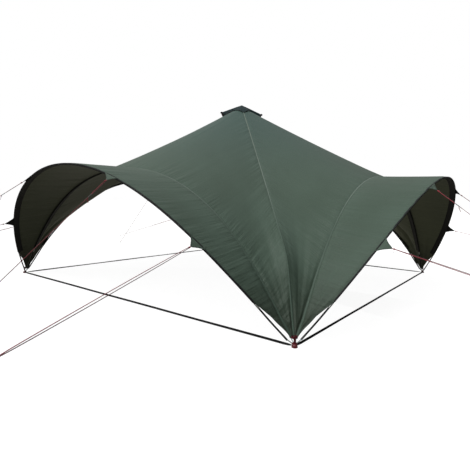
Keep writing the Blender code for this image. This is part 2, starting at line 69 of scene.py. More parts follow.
class Thread:
    """A socket in a tree of nodes. Sums on it add Math nodes, and node() adds any other node."""

    def __init__(self, tree, socket=None):
        self.tree = tree
        self.socket = socket

    def node(self, kind, settings=None, sockets=None, out=0):
        made = self.tree.nodes.new("ShaderNode" + kind)
        for name, value in (settings or {}).items():
            if name == "stops":
                for stop, (place, colour) in zip(made.color_ramp.elements, value):
                    stop.position = place
                    stop.color = colour
            else:
                setattr(made, name, value)
        for name, value in (sockets or {}).items():
            if isinstance(value, Thread):
                self.tree.links.new(value.socket, made.inputs[name])
            else:
                made.inputs[name].default_value = value
        return Thread(self.tree, made.outputs[out])

    def maths(self, operation, *values):
        return self.node("Math", {"operation": operation}, dict(enumerate(values)))

    def __add__(self, other):
        return self.maths("ADD", self, other)

    def __sub__(self, other):
        return self.maths("SUBTRACT", self, other)

    def __rsub__(self, other):
        return self.maths("SUBTRACT", other, self)

    def __mul__(self, other):
        return self.maths("MULTIPLY", self, other)

    def __truediv__(self, other):
        return self.maths("DIVIDE", self, other)

    def __pow__(self, other):
        return self.maths("POWER", self, other)

    __radd__ = __add__
    __rmul__ = __mul__

    def part(self, axis):
        """One of the three numbers of a vector."""
        return self.node("SeparateXYZ", {}, {0: self}, axis)

    def ramp(self, low, high):
        """0 below low and 1 above high, with a soft step between."""
        limits = {"Value": self, "From Min": low, "From Max": high}
        return self.node("MapRange", {"interpolation_type": "SMOOTHSTEP"}, limits)

    def mixed(self, colour, other):
        """From one colour to the other as this mask goes from 0 to 1."""
        return self.node("Mix", {"data_type": "RGBA"}, {0: self, 6: colour, 7: other}, 2)

    def stretched(self, scale):
        """This vector with each axis scaled by its own number."""
        return self.node("VectorMath", {"operation": "MULTIPLY"}, {0: self, 1: scale})

    def noise(self, scale, detail=2.0):
        return self.node("TexNoise", {}, {"Vector": self, "Scale": scale, "Detail": detail})

    def wave(self, length):
        """A sine of this place in metres, from 0 to 1, with the given length."""
        return self.maths("SINE", self * (2 * math.pi / length)) * 0.5 + 0.5


def new_finish(name):
    """An empty material and a thread to add its nodes with."""
    material = bpy.data.materials.new(name)
    material.use_nodes = True
    material.node_tree.nodes.clear()
    return material, Thread(material.node_tree)


def close_finish(root, sockets, height=None, depth=0.001, strength=1.0):
    """Ends a material with its main shader, bumped by a height that spans depth in metres."""
    if height is not None:
        bump = {"Height": height, "Distance": depth, "Strength": strength}
        sockets = {**sockets, "Normal": root.node("Bump", {}, bump)}
    shader = root.node("BsdfPrincipled", {}, sockets)
    output = root.tree.nodes.new("ShaderNodeOutputMaterial")
    root.tree.links.new(shader.socket, output.inputs["Surface"])


TURNED_SIDES = 36


def turned(profile, sides=TURNED_SIDES):
    """A shape turned about Z from (radius, height) pairs, first and last on the axis."""
    points = [(0.0, 0.0, profile[0][1])]
    for radius, height in profile[1:-1]:
        for side in range(sides):
            turn = 2 * math.pi * side / sides
            points.append((radius * math.cos(turn), radius * math.sin(turn), height))
    points.append((0.0, 0.0, profile[-1][1]))
    top = len(points) - 1
    faces = [(0, 1 + (side + 1) % sides, 1 + side) for side in range(sides)]
    faces += [(top - sides + side, top - sides + (side + 1) % sides, top) for side in range(sides)]
    for base in range(1, top - sides, sides):
        for side in range(sides):
            after = (side + 1) % sides
            faces.append((base + side, base + after, base + sides + after, base + sides + side))
    return np.array(points), faces


def add_stage(name, points, faces, finish):
    """A part of the studio, which the camera sees and which gives the tent no light."""
    mesh = bpy.data.meshes.new(name)
    mesh.from_pydata(points, [], faces)
    mesh.materials.append(finish)
    mesh.shade_smooth()
    part = bpy.data.objects.new(name, mesh)
    part.visible_diffuse = False
    part.visible_glossy = False
    bpy.context.collection.objects.link(part)
    return part


floor_finish, root = new_finish("pale_floor")
ground = root.node("TexCoord", {}, {}, "Object")
tone = ground.noise(0.8, 4.0).mixed((0.34, 0.34, 0.34, 1.0), (0.37, 0.37, 0.365, 1.0))
glow = {"Emission Color": (1.0, 1.0, 1.0, 1.0), "Emission Strength": 0.88}
matt = {"Roughness": 0.95, "Specular IOR Level": 0.1}
close_finish(root, {"Base Color": tone, **glow, **matt}, ground.noise(60.0), 0.0006)
turns = np.linspace(0.0, 2 * math.pi, 96, endpoint=False)
floor_ring = [(STUDIO_RADIUS * math.cos(turn), STUDIO_RADIUS * math.sin(turn), 0.0) for turn in turns]
add_stage("floor", floor_ring, [tuple(range(len(floor_ring)))], floor_finish)

backdrop_finish, root = new_finish("white_backdrop")
close_finish(root, {
    "Base Color": (0.0, 0.0, 0.0, 1.0),
    "Specular IOR Level": 0.0,
    "Emission Color": (1.0, 1.0, 1.0, 1.0),
    "Emission Strength": 1.0,
})
dome = [
    (STUDIO_RADIUS * math.sin(math.radians(angle)), STUDIO_RADIUS * math.cos(math.radians(angle)))
    for angle in range(0, 91, 5)
]
backdrop = add_stage("backdrop", *turned([*dome, (0.0, 0.0)]), backdrop_finish)
backdrop.visible_shadow = False
backdrop.visible_transmission = False

LOW_LEFT = (0.30, 0.29, 0.25, 1.0)
LOW_RIGHT = (0.09, 0.088, 0.078, 1.0)
HIGH_LEFT = (1.02, 1.05, 1.08, 1.0)
HIGH_RIGHT = (0.74, 0.76, 0.79, 1.0)
sky = bpy.data.worlds.new("sky")
sky.use_nodes = True
bpy.context.scene.world = sky
sky.node_tree.nodes.clear()
root = Thread(sky.node_tree)
direction = root.node("TexCoord", {}, {}, "Generated")
upwards, rightwards = direction.part(2), direction.part(0)
overhead = upwards.maths("MAXIMUM", upwards, 0.0) ** 1.5
low_light = rightwards.ramp(-0.9, 0.9).mixed(LOW_LEFT, LOW_RIGHT)
high_light = rightwards.ramp(-0.9, 0.9).mixed(HIGH_LEFT, HIGH_RIGHT)
background = root.node("Background", {}, {"Color": overhead.mixed(low_light, high_light)})
output = sky.node_tree.nodes.new("ShaderNodeOutputWorld")
sky.node_tree.links.new(background.socket, output.inputs["Surface"])

lamp = bpy.data.objects.new("high_lamp", bpy.data.lights.new("high_lamp", "SUN"))
lamp.data.energy = 2.8
lamp.data.angle = math.radians(55)
lamp.rotation_euler = (math.radians(40), 0.0, math.radians(-20))
bpy.context.collection.objects.link(lamp)


# The lines of the tent: each side has an inner arch that carries the roof and an edge arch that
# leans out with the awning. Both are straight rods bent from foot to foot, so they bend most at
# the top. The hips run from the feet to the peak. The cloth between them is a stretched net.

HALF = 2.75
PEAK = 3.16
DIAGONAL = HALF * math.sqrt(2)
INNER_ARCH = {"angle": 1.114, "rise": 1.795, "lean": -0.052, "belly": 0.019}
EDGE_ARCH = {"angle": 1.038, "rise": 1.949, "lean": 0.423, "belly": 0.079}
TIP_SHARE = 0.034
SLEEVE_START = 0.168
LOWER_TAB = (0.358, 0.414)
UPPER_TAB = (0.709, 0.765)
STATION_GAP = 0.075
HIP_FOOT_SLOPE = 2.4
HIP_TOP_SLOPE = 0.66
HIP_BEND = 0.066
HIP_FOOT_HEIGHT = 0.10
COLLAR_RADIUS = 0.055
ROOF_COLUMNS = 5
PULL_ACROSS = 4.0
POLE_RADIUS = 0.008
CHANNEL = 0.0092
SLEEVE_EDGE = 0.0122
FREE_POLE_DROP = 0.007
EDGE_CUT_BACK = 0.035
TIP_WIDTH = 0.012
MIRROR = np.array([-1.0, 1.0, 1.0])
SIDES = ("front", "right", "back", "left")
CORNERS = ("front_right", "back_right", "back_left", "front_left")


def station_shares():
    """Shares of half an arch where the net has a row, with the sleeve's and the tabs' ends."""
    marks = (TIP_SHARE, SLEEVE_START, *LOWER_TAB, *UPPER_TAB, 1.0)
    shares = [TIP_SHARE]
    for start, end in zip(marks, marks[1:]):
        steps = math.ceil((end - start) / STATION_GAP)
        shares += [start + (end - start) * step / steps for step in range(1, steps + 1)]
    return np.array(shares)


def unit(vectors):
    return vectors / np.linalg.norm(vectors, axis=-1, keepdims=True)


def square_to(vectors, ways):
    """The unit vectors, each freed of its share along the way beside it."""
    return unit(vectors - ways * np.sum(vectors * ways, axis=-1, keepdims=True))


def running_length(points):
    steps = np.linalg.norm(np.diff(points, axis=0), axis=1)
    return np.concatenate([[0.0], np.cumsum(steps)])


def along(points, lengths):
    """Points at the given lengths along a line of close points."""
    run = running_length(points)
    return np.stack([np.interp(lengths, run, points[:, i]) for i in range(3)], axis=1)


def bent_pole_line(arch, count=1200):
    """Half an arch on the front side, from the right foot to the top, as a bent rod lies."""
    angle = arch["angle"]
    step = np.linspace(0.0, 1.0, count)
    slope = angle * (1.0 - step**2)
    height = np.sqrt(np.maximum(2 * (np.cos(slope) - math.cos(angle)), 0.0))
    per_step = np.empty(count)
    per_step[1:] = 2 * angle * step[1:] / height[1:]
    per_step[0] = 2 * angle / math.sqrt(2 * angle * math.sin(angle))
    forward = np.cos(slope) * per_step
    reach = np.concatenate([[0.0], np.cumsum((forward[1:] + forward[:-1]) / 2 * np.diff(step))])
    rise = height / height[-1]
    x = HALF * (1.0 - reach / reach[-1])
    out = arch["rise"] * rise * math.sin(arch["lean"]) + 4 * arch["belly"] * rise * (1.0 - rise)
    z = arch["rise"] * rise * math.cos(arch["lean"])
    return np.stack([x, -HALF - out, z], axis=1)


def mirrored(half):
    """Right half rows from foot to top, followed by the left half rows down to the left foot."""
    return np.concatenate([half, half[-2::-1] * MIRROR])


def arch_at(arch, shares):
    """Points of half an arch at shares of its length."""
    line = bent_pole_line(arch)
    return along(line, shares * running_length(line)[-1])


def hip_at(steps):
    """Points of the right hip at steps from 0 at its low end to 1 at the collar."""
    radius = np.linspace(DIAGONAL, COLLAR_RADIUS, 4000)
    flat = PEAK - HIP_TOP_SLOPE * radius
    steep = HIP_FOOT_SLOPE * (DIAGONAL - radius)
    height = (flat + steep) / 2 - np.sqrt(((flat - steep) / 2) ** 2 + HIP_BEND**2)
    line = np.stack([radius / math.sqrt(2), -radius / math.sqrt(2), height], axis=1)
    line = line[height >= HIP_FOOT_HEIGHT]
    return along(line, steps * running_length(line)[-1])


def spread_sheet(inner, outer, columns):
    """A grid of points with straight rows between two lines."""
    share = np.linspace(0.0, 1.0, columns + 1)[None, :, None]
    return inner[:, None] * (1 - share) + outer[:, None] * share


def relaxed_roof(hip, seam, rounds=1500):
    """Half a roof panel whose inner points lie where the pulls of their neighbours balance."""
    grid = spread_sheet(hip, seam, ROOF_COLUMNS)
    for _ in range(rounds):
        above = np.concatenate([grid[2:], grid[-2:-1] * MIRROR])[:, 1:-1]
        below = grid[:-1, 1:-1]
        sideways = grid[1:, 2:] + grid[1:, :-2]
        settled = (above + below + PULL_ACROSS * sideways) / (2 + 2 * PULL_ACROSS)
        settled[-1, :, 0] = 0.0
        grid[1:, 1:-1] = settled
    return grid


def sheet_normals(grid):
    """Upward normals of a grid whose rows run round the arch and columns run outwards."""
    normals = unit(np.cross(np.gradient(grid, axis=0), np.gradient(grid, axis=1)))
    return normals * np.sign(normals[len(grid) // 2, 0, 2])


def sleeve_frames(grid):
    """Directions at a sheet's outer edge: outwards in the sheet, and up from it."""
    arch_way = unit(np.gradient(grid[:, -1], axis=0))
    outwards = square_to(grid[:, -1] - grid[:, -2], arch_way)
    up = unit(np.cross(outwards, arch_way))
    return outwards, up * np.sign(np.sum(up * sheet_normals(grid)[:, -1], axis=1, keepdims=True))


def finer(values, marks, places):
    """Values at new places, on smooth curves through the values at the marks."""
    slopes = np.gradient(values, marks, axis=0)
    low = np.clip(np.searchsorted(marks, places, side="right") - 1, 0, len(marks) - 2)
    width = (marks[low + 1] - marks[low]).reshape(-1, *[1] * (values.ndim - 1))
    step = ((places - marks[low]) / (marks[low + 1] - marks[low])).reshape(width.shape)
    near = (1 + 2 * step) * values[low] + step * width * slopes[low]
    far = (3 - 2 * step) * values[low + 1] + (step - 1) * width * slopes[low + 1]
    return (1 - step) ** 2 * near + step**2 * far


def soft_step(values, low, high):
    step = np.clip((values - low) / (high - low), 0.0, 1.0)
    return step * step * (3 - 2 * step)


def drawn_in(points):
    """The cloth's points, drawn together and down just above the feet, where webbing holds it."""
    apart = soft_step(points[..., 2], *DRAWN_HEIGHTS)[..., None]
    axis = np.array([DRAWN_AXIS, -DRAWN_AXIS, 0.0]) * (1, 1, 0)
    folded = points * np.where(points[..., :1] < 0, MIRROR, 1.0)
    width = DRAWN_WIDTH + (1 - DRAWN_WIDTH) * apart
    folded = axis + (folded - axis) * np.concatenate([width, width, np.ones_like(width)], axis=-1)
    folded = folded - np.array([0.0, 0.0, DRAWN_DROP]) * (1 - apart)
    return folded * np.where(points[..., :1] < 0, MIRROR, 1.0)


DRAWN_HEIGHTS = (0.08, 0.24)
DRAWN_AXIS = HALF - 0.010
DRAWN_WIDTH = 0.60
DRAWN_DROP = 0.020
FINE_ROWS = 260
stations = station_shares()
half_rows = len(stations)
sleeve_row = int(np.argmin(abs(stations - SLEEVE_START)))
coarse_marks = np.arange(2 * half_rows - 1, dtype=float)
fine_half = np.linspace(0.0, half_rows - 1.0, FINE_ROWS + 1)
fine_marks = np.linspace(0.0, 2 * half_rows - 2.0, 2 * FINE_ROWS + 1)
fine_shares = finer(stations, np.arange(half_rows, dtype=float), fine_half)

net_seam = arch_at(INNER_ARCH, stations)
net_hip = hip_at(np.linspace(0.0, 1.0, half_rows - 1))
collar = np.array([0.0, net_hip[-1][1], net_hip[-1][2]])
net_hip = np.concatenate([net_hip, [collar]])
net_roof = mirrored(relaxed_roof(net_hip, net_seam))
net_arch = mirrored(arch_at(EDGE_ARCH, stations))
net_awning = spread_sheet(mirrored(net_seam), net_arch, 3)

roof_out, roof_up = sleeve_frames(net_roof)
awning_out, awning_up = sleeve_frames(net_awning)
pole_drop = np.full((len(net_arch), 1), CHANNEL)
pole_drop[:sleeve_row] += FREE_POLE_DROP
pole_drop[-sleeve_row:] += FREE_POLE_DROP
net_inner_pole = net_roof[:, -1] - roof_out * SLEEVE_EDGE - roof_up * pole_drop
net_edge_pole = net_arch - awning_out * SLEEVE_EDGE - awning_up * pole_drop

net_edge = net_arch.copy()
net_edge[0] = net_seam[0] + np.array([0.0, -TIP_WIDTH, 0.0])
net_edge[1:sleeve_row] -= awning_out[1:sleeve_row] * (SLEEVE_EDGE + EDGE_CUT_BACK)
net_edge[-sleeve_row:] = net_edge[sleeve_row - 1 :: -1] * MIRROR

fine_seam = drawn_in(mirrored(arch_at(INNER_ARCH, fine_shares)))
fine_arch = mirrored(arch_at(EDGE_ARCH, fine_shares))
on_hip = np.clip(fine_half / (half_rows - 2), 0.0, 1.0)
past_hip = np.clip(fine_half - (half_rows - 2), 0.0, 1.0)[:, None]
fine_hip = drawn_in(mirrored(hip_at(on_hip) + (collar - hip_at(np.ones(1))) * past_hip))
cut_back = np.stack(
    [np.interp(fine_marks, coarse_marks, (net_edge - net_arch)[:, i]) for i in range(3)], axis=1
)
fine_edge = drawn_in(fine_arch + cut_back)


# The canopy is light coated polyester in one dull green, dyed outside and coated inside. Each
# side has a roof panel between the hips and the inner arch, and an awning from there to the
# edge arch. Pulled taut on the poles it puckers across its seams and folds above the feet.

CLOTH_THICKNESS = 0.001
CLOTH_RISE = 0.0016
ROOF_FINE_COLUMNS = 38
AWNING_FINE_COLUMNS = 24
CANOPY_GREEN = (0.045, 0.070, 0.050, 1.0)
CANOPY_LIGHT = (0.058, 0.088, 0.066, 1.0)
# Painted shade: the dark green that the outside is drawn towards beside its seams and edges.
CANOPY_SEAM_SHADE = (0.022, 0.036, 0.026, 1.0)
CANOPY_INSIDE = (0.082, 0.092, 0.060, 1.0)
CANOPY_INSIDE_LIGHT = (0.105, 0.115, 0.074, 1.0)
# Painted shade: the same for the inside.
CANOPY_INSIDE_SEAM_SHADE = (0.045, 0.050, 0.036, 1.0)
# Painted shade: the dark colour towards the feet.
CANOPY_FOOT_SHADE = (0.022, 0.025, 0.017, 1.0)
# A bluer green that the cloth turns to towards the top.
CANOPY_TOP_TONE = (0.036, 0.070, 0.060, 1.0)
FOOT_SHADE_HEIGHTS = (0.05, 0.80)
TOP_TONE_HEIGHTS = (1.5, 3.1)
THREAD_SPACING = 0.0009


def canopy_finish(name, dark, light, seam_shade, roughness):
    """Plain-woven coated cloth: faint weave, pucker across the seams, uneven dyeing, a bluer green towards the
    top, and painted shade beside the seams and edges and towards the feet.
    """
    material, root = new_finish(name)
    cut = root.node("Attribute", {"attribute_name": "cut"}, {}, "Vector")
    along_arch, from_inner, from_outer = cut.part(0), cut.part(1), cut.part(2)
    nearest = from_inner.maths("MINIMUM", from_inner, from_outer)
    clouds = cut.noise(1.3, 4.0)
    streaks = cut.stretched((26.0, 1.4, 0.0)).noise(1.0, 3.0)
    fine_streaks = cut.stretched((85.0, 4.0, 0.0)).noise(1.0, 2.0)
    reach = (1 - nearest.ramp(0.0, 0.36)) * 0.8 + 0.2
    weave = along_arch.wave(THREAD_SPACING) * from_inner.wave(THREAD_SPACING)
    tone = clouds.ramp(0.3, 0.75) * 0.65 + streaks.ramp(0.35, 0.7) * reach * 0.45
    above_ground = root.node("TexCoord", {}, {}, "Object").part(2)
    # Painted shade: patchy darkening from the ground up to 0.8 m, darkest at the feet.
    foot_shade = (1 - above_ground.ramp(*FOOT_SHADE_HEIGHTS)) * (clouds * 0.5 + 0.45)
    # From 1.5 m up to the peak, both sides of the cloth turn towards a bluer green.
    top_tone = above_ground.ramp(*TOP_TONE_HEIGHTS) * 0.8
    dyed_and_shaded = foot_shade.mixed(top_tone.mixed(tone.mixed(dark, light), CANOPY_TOP_TONE), CANOPY_FOOT_SHADE)
    # Painted shade: a dark band within about 6 to 22 mm of the panel's seams and edges.
    colour = (0.75 - nearest.ramp(0.006, 0.022) * 0.75).mixed(dyed_and_shaded, seam_shade)
    height = streaks * reach + fine_streaks * reach * 0.3 + weave * 0.02
    shine = clouds * 0.14 + (roughness - 0.07)
    gloss = {"Roughness": shine, "Specular IOR Level": 0.16, "Sheen Weight": 0.02, "Sheen Roughness": 0.35}
    close_finish(root, {"Base Color": colour, **gloss}, height, 0.010)
    return material


def grid_faces(rows, columns, start=0):
    numbers = start + np.arange(rows * columns).reshape(rows, columns)
    corners = (numbers[:-1, :-1], numbers[:-1, 1:], numbers[1:, 1:], numbers[1:, :-1])
    return np.stack(corners, axis=-1).reshape(-1, 4)


def turned_side(points, side):
    """Points of the front side, turned to another side by quarter turns about Z."""
    turn = SIDES.index(side) * math.pi / 2
    x, y = points[..., 0], points[..., 1]
    around = (x * math.cos(turn) - y * math.sin(turn), x * math.sin(turn) + y * math.cos(turn))
    return np.stack([*around, points[..., 2]], axis=-1)


def add_piece(name, points, faces, finishes, finish_of=None, cut=None, sharp=38):
    """A smooth-shaded piece that stays with the tent. cut gives each point's place on the cloth."""
    mesh = bpy.data.meshes.new(name)
    mesh.from_pydata(np.asarray(points).tolist(), [], [list(map(int, face)) for face in faces])
    for finish in finishes:
        mesh.materials.append(finish)
    if finish_of is not None:
        mesh.polygons.foreach_set("material_index", np.asarray(finish_of, np.int32))
    if cut is not None:
        places = mesh.attributes.new("cut", "FLOAT_VECTOR", "POINT")
        places.data.foreach_set("vector", np.asarray(cut, np.float32).ravel())
    work = bmesh.new()
    work.from_mesh(mesh)
    bmesh.ops.recalc_face_normals(work, faces=work.faces)
    work.to_mesh(mesh)
    work.free()
    mesh.shade_smooth()
    mesh.set_sharp_from_angle(angle=math.radians(sharp))
    piece = bpy.data.objects.new(name, mesh)
    bpy.context.collection.objects.link(piece)
    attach(piece, "root")
    return piece


def closed_sheet(grid, normals, thickness):
    """Points and faces of a thin sheet with two skins and a rim, and the share of top faces."""
    rows, columns = grid.shape[:2]
    count = rows * columns
    points = np.concatenate([
        (grid + normals * thickness / 2).reshape(-1, 3),
        (grid - normals * thickness / 2).reshape(-1, 3),
    ])
    top = grid_faces(rows, columns)
    numbers = np.arange(count).reshape(rows, columns)
    rim = np.concatenate([numbers[0, :-1], numbers[:-1, -1], numbers[-1, :0:-1], numbers[:0:-1, 0]])
    after = np.roll(rim, -1)
    around = np.stack([after, rim, rim + count, after + count], axis=1)
    return points, np.concatenate([top, top[:, ::-1] + count, around]), len(top)


def cloth_places(grid):
    """For each point of a grid: metres along it, from its first column, and from its last."""
    middle = running_length(grid[:, grid.shape[1] // 2])
    steps = np.linalg.norm(np.diff(grid, axis=1), axis=2)
    across = np.concatenate([np.zeros((len(grid), 1)), np.cumsum(steps, axis=1)], axis=1)
    lengthwise = np.broadcast_to(middle[:, None], across.shape)
    return np.stack([lengthwise, across, across[:, -1:] - across], axis=-1)


def sheet_area(grid):
    across = grid[1:, 1:] - grid[:-1, :-1]
    other = grid[1:, :-1] - grid[:-1, 1:]
    return float(np.linalg.norm(np.cross(across, other), axis=2).sum() / 2)


RIPPLE_LENGTHS = tuple(np.geomspace(0.06, 0.30, 9))
RIPPLE_HEIGHT = 0.019
FOOT_FOLDS = (1.5, 2.5, 3.6, 5.2)
FOOT_FOLD_HEIGHT = 0.010
BROAD_SWELL = 0.005
CALM_AT_PEAK = (0.25, 0.75)


def seam_ripples(run, from_seam, random):
    """How far cloth stands up beside a seam that was sewn a little short, in metres."""
    lift = np.zeros(run.shape)
    for length in RIPPLE_LENGTHS:
        phase, beat, wander = random.uniform(0.0, 2 * math.pi, 3)
        lean = random.uniform(-0.16, 0.16)
        bend = 0.3 * np.sin(run * random.uniform(0.8, 2.2) + wander) * from_seam
        turn = 2 * math.pi * (run + lean * from_seam + bend * 0.3) / length
        crease = 1 - abs(np.sin(turn / 2 + phase))
        swell = 0.55 + 0.45 * np.sin(turn / random.uniform(5.0, 9.0) + beat)
        lift += crease * swell * length * RIPPLE_HEIGHT * np.exp(-from_seam / (0.06 + length))
    return lift


def tension_folds(places, share, random):
    """How far each point of a panel stands off its taut surface, nought along its edges."""
    run, from_inner, from_outer = places[..., 0], places[..., 1], places[..., 2]
    across = from_inner / np.maximum(from_inner + from_outer, 1e-6)
    lift = seam_ripples(run, from_inner, random) + seam_ripples(run, from_outer, random)
    foot = np.exp(-(((share - 0.2) / 0.14) ** 2))
    for count in FOOT_FOLDS:
        lean = random.uniform(-1.2, 1.2)
        phase = random.uniform(0.0, 2 * math.pi)
        fold = 1 - abs(np.sin(math.pi * count * across + lean * run + phase))
        lift += fold * foot * FOOT_FOLD_HEIGHT / count
    lift += np.sin(run * 2.1 + random.uniform(0, 6)) * np.sin(math.pi * across) * BROAD_SWELL
    return lift * soft_step(np.minimum(from_inner, from_outer), 0.006, 0.045)


canopy_outside = canopy_finish("canopy_outside", CANOPY_GREEN, CANOPY_LIGHT, CANOPY_SEAM_SHADE, 0.5)
canopy_inside = canopy_finish(
    "canopy_inside", CANOPY_INSIDE, CANOPY_INSIDE_LIGHT, CANOPY_INSIDE_SEAM_SHADE, 0.5
)

roof_rest = net_roof - spread_sheet(net_roof[:, 0], net_roof[:, -1], ROOF_COLUMNS)
roof_rest = finer(roof_rest, coarse_marks, fine_marks).transpose(1, 0, 2)
net_columns = np.linspace(0.0, 1.0, ROOF_COLUMNS + 1)
fine_columns = np.linspace(0.0, 1.0, ROOF_FINE_COLUMNS + 1)
roof_rest = finer(roof_rest, net_columns, fine_columns).transpose(1, 0, 2)
fine_roof = spread_sheet(fine_hip, fine_seam, ROOF_FINE_COLUMNS) + roof_rest
fine_awning = spread_sheet(fine_seam, fine_edge, AWNING_FINE_COLUMNS)
row_share = np.concatenate([fine_shares, fine_shares[-2::-1]])[:, None]

for number, side in enumerate(SIDES):
    for kind, surface in (("roof", fine_roof), ("awning", fine_awning)):
        random = np.random.default_rng(40 + number * 2 + (kind == "awning"))
        places = cloth_places(surface)
        normals = sheet_normals(surface)
        lift = tension_folds(places, np.broadcast_to(row_share, places.shape[:2]), random)
        lift *= soft_step(np.linalg.norm(surface[..., :2], axis=-1), *CALM_AT_PEAK)
        puckered = surface + normals * (lift + CLOTH_RISE)[..., None]
        points, faces, top_count = closed_sheet(puckered, normals, CLOTH_THICKNESS)
        finish_of = np.zeros(len(faces), int)
        finish_of[top_count : 2 * top_count] = 1
        add_piece(
            f"{kind}_cloth_{side}",
            turned_side(points, side),
            faces,
            (canopy_outside, canopy_inside),
            finish_of,
            np.tile(places.reshape(-1, 3), (2, 1)),
        )

awning_depth = float(np.linalg.norm(fine_edge - fine_seam, axis=1).max())


# Pole sleeves: strips of black cloth folded round each bent pole and sewn on with two rows. The
# edge sleeve also binds the awning's rim, so a narrow black band shows from outside. The sleeves
# stop short of the feet and are open there, where the poles go in.

SLEEVE_CLOTH = 0.0008
SLEEVE_REACH = 0.086
SLEEVE_BELLY = POLE_RADIUS + 0.0026
SLEEVE_ROWS = 240
BLACK_CLOTH = (0.004, 0.004, 0.0045, 1.0)
BLACK_CLOTH_WORN = (0.010, 0.010, 0.011, 1.0)


def black_cloth_finish(name, weave_length):
    """Close-woven black nylon with two rows of stitches beside each edge."""
    material, root = new_finish(name)
    cut = root.node("Attribute", {"attribute_name": "cut"}, {}, "Vector")
    along_strip, from_edge, to_edge = cut.part(0), cut.part(1), cut.part(2)
    weave = (along_strip + from_edge).wave(weave_length) * (along_strip - from_edge).wave(weave_length)
    nearest = from_edge.maths("MINIMUM", from_edge, to_edge)
    row = 1 - (nearest - 0.003).maths("ABSOLUTE", nearest - 0.003).ramp(0.0003, 0.0008)
    stitches = row * along_strip.wave(0.004).ramp(0.3, 0.5)
    wear = cut.noise(9.0, 5.0).ramp(0.45, 0.8)
    colour = wear.mixed(BLACK_CLOTH, BLACK_CLOTH_WORN)
    creases = cut.stretched((60.0, 8.0, 0.0)).noise(1.0)
    height = weave * 0.25 + stitches * 0.6 + creases * 0.8
    gloss = {"Roughness": wear * 0.15 + 0.65, "Specular IOR Level": 0.25}
    close_finish(root, {"Base Color": colour, **gloss}, height, 0.0012)
    return material


black_sleeve = black_cloth_finish("black_sleeve", 0.0022)
teardrop = [
    (SLEEVE_BELLY * math.cos(math.radians(angle)), SLEEVE_BELLY * math.sin(math.radians(angle)))
    for angle in range(30, -131, -16)
]
sewn_flat = [(-0.026, -0.006), (-0.034, CHANNEL - 0.0065), (-0.041, CHANNEL - 0.0012)]
sewn_flat.append((SLEEVE_EDGE - SLEEVE_REACH, CHANNEL - 0.0008))
binding = [(-0.004, CHANNEL + 0.0032), (0.004, CHANNEL + 0.0034), (0.0105, CHANNEL + 0.0030)]
binding.append((SLEEVE_EDGE + 0.0012, CHANNEL + 0.0002))
under_edge = [(SLEEVE_EDGE - 0.003, CHANNEL - 0.0010)]
sleeve_sections = {"edge": binding + teardrop + sewn_flat, "inner": under_edge + teardrop + sewn_flat}
sleeve_ends = (SLEEVE_START - 0.002, 2.002 - SLEEVE_START)
share_marks = np.concatenate([stations, 2 - stations[-2::-1]])
sleeve_shares = np.linspace(*sleeve_ends, SLEEVE_ROWS)
sleeve_marks = np.interp(sleeve_shares, share_marks, coarse_marks)
pole_nets = {
    "edge": (net_arch - awning_out * SLEEVE_EDGE - awning_up * CHANNEL, awning_out, awning_up),
    "inner": (net_roof[:, -1] - roof_out * SLEEVE_EDGE - roof_up * CHANNEL, roof_out, roof_up),
}
for kind, (centre, outwards, up) in pole_nets.items():
    centre, outwards, up = (finer(net, coarse_marks, sleeve_marks) for net in (centre, outwards, up))
    section = np.array(sleeve_sections[kind])
    strip = centre[:, None] + outwards[:, None] * section[:, :1] + up[:, None] * section[:, 1:]
    normals = unit(np.cross(np.gradient(strip, axis=0), np.gradient(strip, axis=1)))
    points, faces, _ = closed_sheet(strip, normals, SLEEVE_CLOTH)
    cut = np.tile(cloth_places(strip).reshape(-1, 3), (2, 1))
    for side in SIDES:
        add_piece(
            f"{kind}_sleeve_{side}",
            turned_side(points, side),
            faces,
            (black_sleeve,),
            None,
            cut,
            60,
        )


# Flat-felled seams: the roof panels are sewn to each other down the hips and to the awnings
# along the inner arches. Each seam is a narrow doubled strip with two rows of stitches.

SEAM_HALF_WIDTH = 0.011
SEAM_RISE = 0.0026
SEAM_RIDGE = 0.0022
# Painted highlight on the seams, high up.
SEAM_HIGHLIGHT = (0.125, 0.160, 0.132, 1.0)
SEAM_HIGHLIGHT_HEIGHTS = (1.0, 1.75)


def seam_finish():
    """The canopy's cloth, doubled, with a painted highlight where it is high and along the middle of the strip,
    and painted shade in its stitch lines.
    """
    material, root = new_finish("seam_cloth")
    cut = root.node("Attribute", {"attribute_name": "cut"}, {}, "Vector")
    along_strip, from_edge, to_edge = cut.part(0), cut.part(1), cut.part(2)
    nearest = from_edge.maths("MINIMUM", from_edge, to_edge)
    row = 1 - (nearest - 0.003).maths("ABSOLUTE", nearest - 0.003).ramp(0.0004, 0.001)
    stitches = row * along_strip.wave(0.0045).ramp(0.3, 0.5)
    pucker = cut.stretched((70.0, 20.0, 0.0)).noise(1.0, 3.0)
    height_above = root.node("TexCoord", {}, {}, "Object").part(2)
    # Painted highlight: paler cloth from 1.0 m up, away from the strip's edges.
    painted_highlight = height_above.ramp(*SEAM_HIGHLIGHT_HEIGHTS) * nearest.ramp(0.003, 0.008)
    # Uneven dyeing at random, lighter towards the middle of the raised strip as a painted highlight on its
    # ridge.
    dye_and_ridge_highlight = (pucker * 0.8 + nearest * 40.0).mixed(CANOPY_GREEN, CANOPY_LIGHT)
    # Painted shade in the stitch lines.
    colour = (row * 0.6).mixed(painted_highlight.mixed(dye_and_ridge_highlight, SEAM_HIGHLIGHT), CANOPY_SEAM_SHADE)
    height = pucker * 0.8 + stitches * 0.5 - row * 0.4
    gloss = {"Roughness": 0.5, "Specular IOR Level": 0.16, "Sheen Weight": 0.02}
    close_finish(root, {"Base Color": colour, **gloss}, height, 0.0015)
    return material


felled_seam = seam_finish()


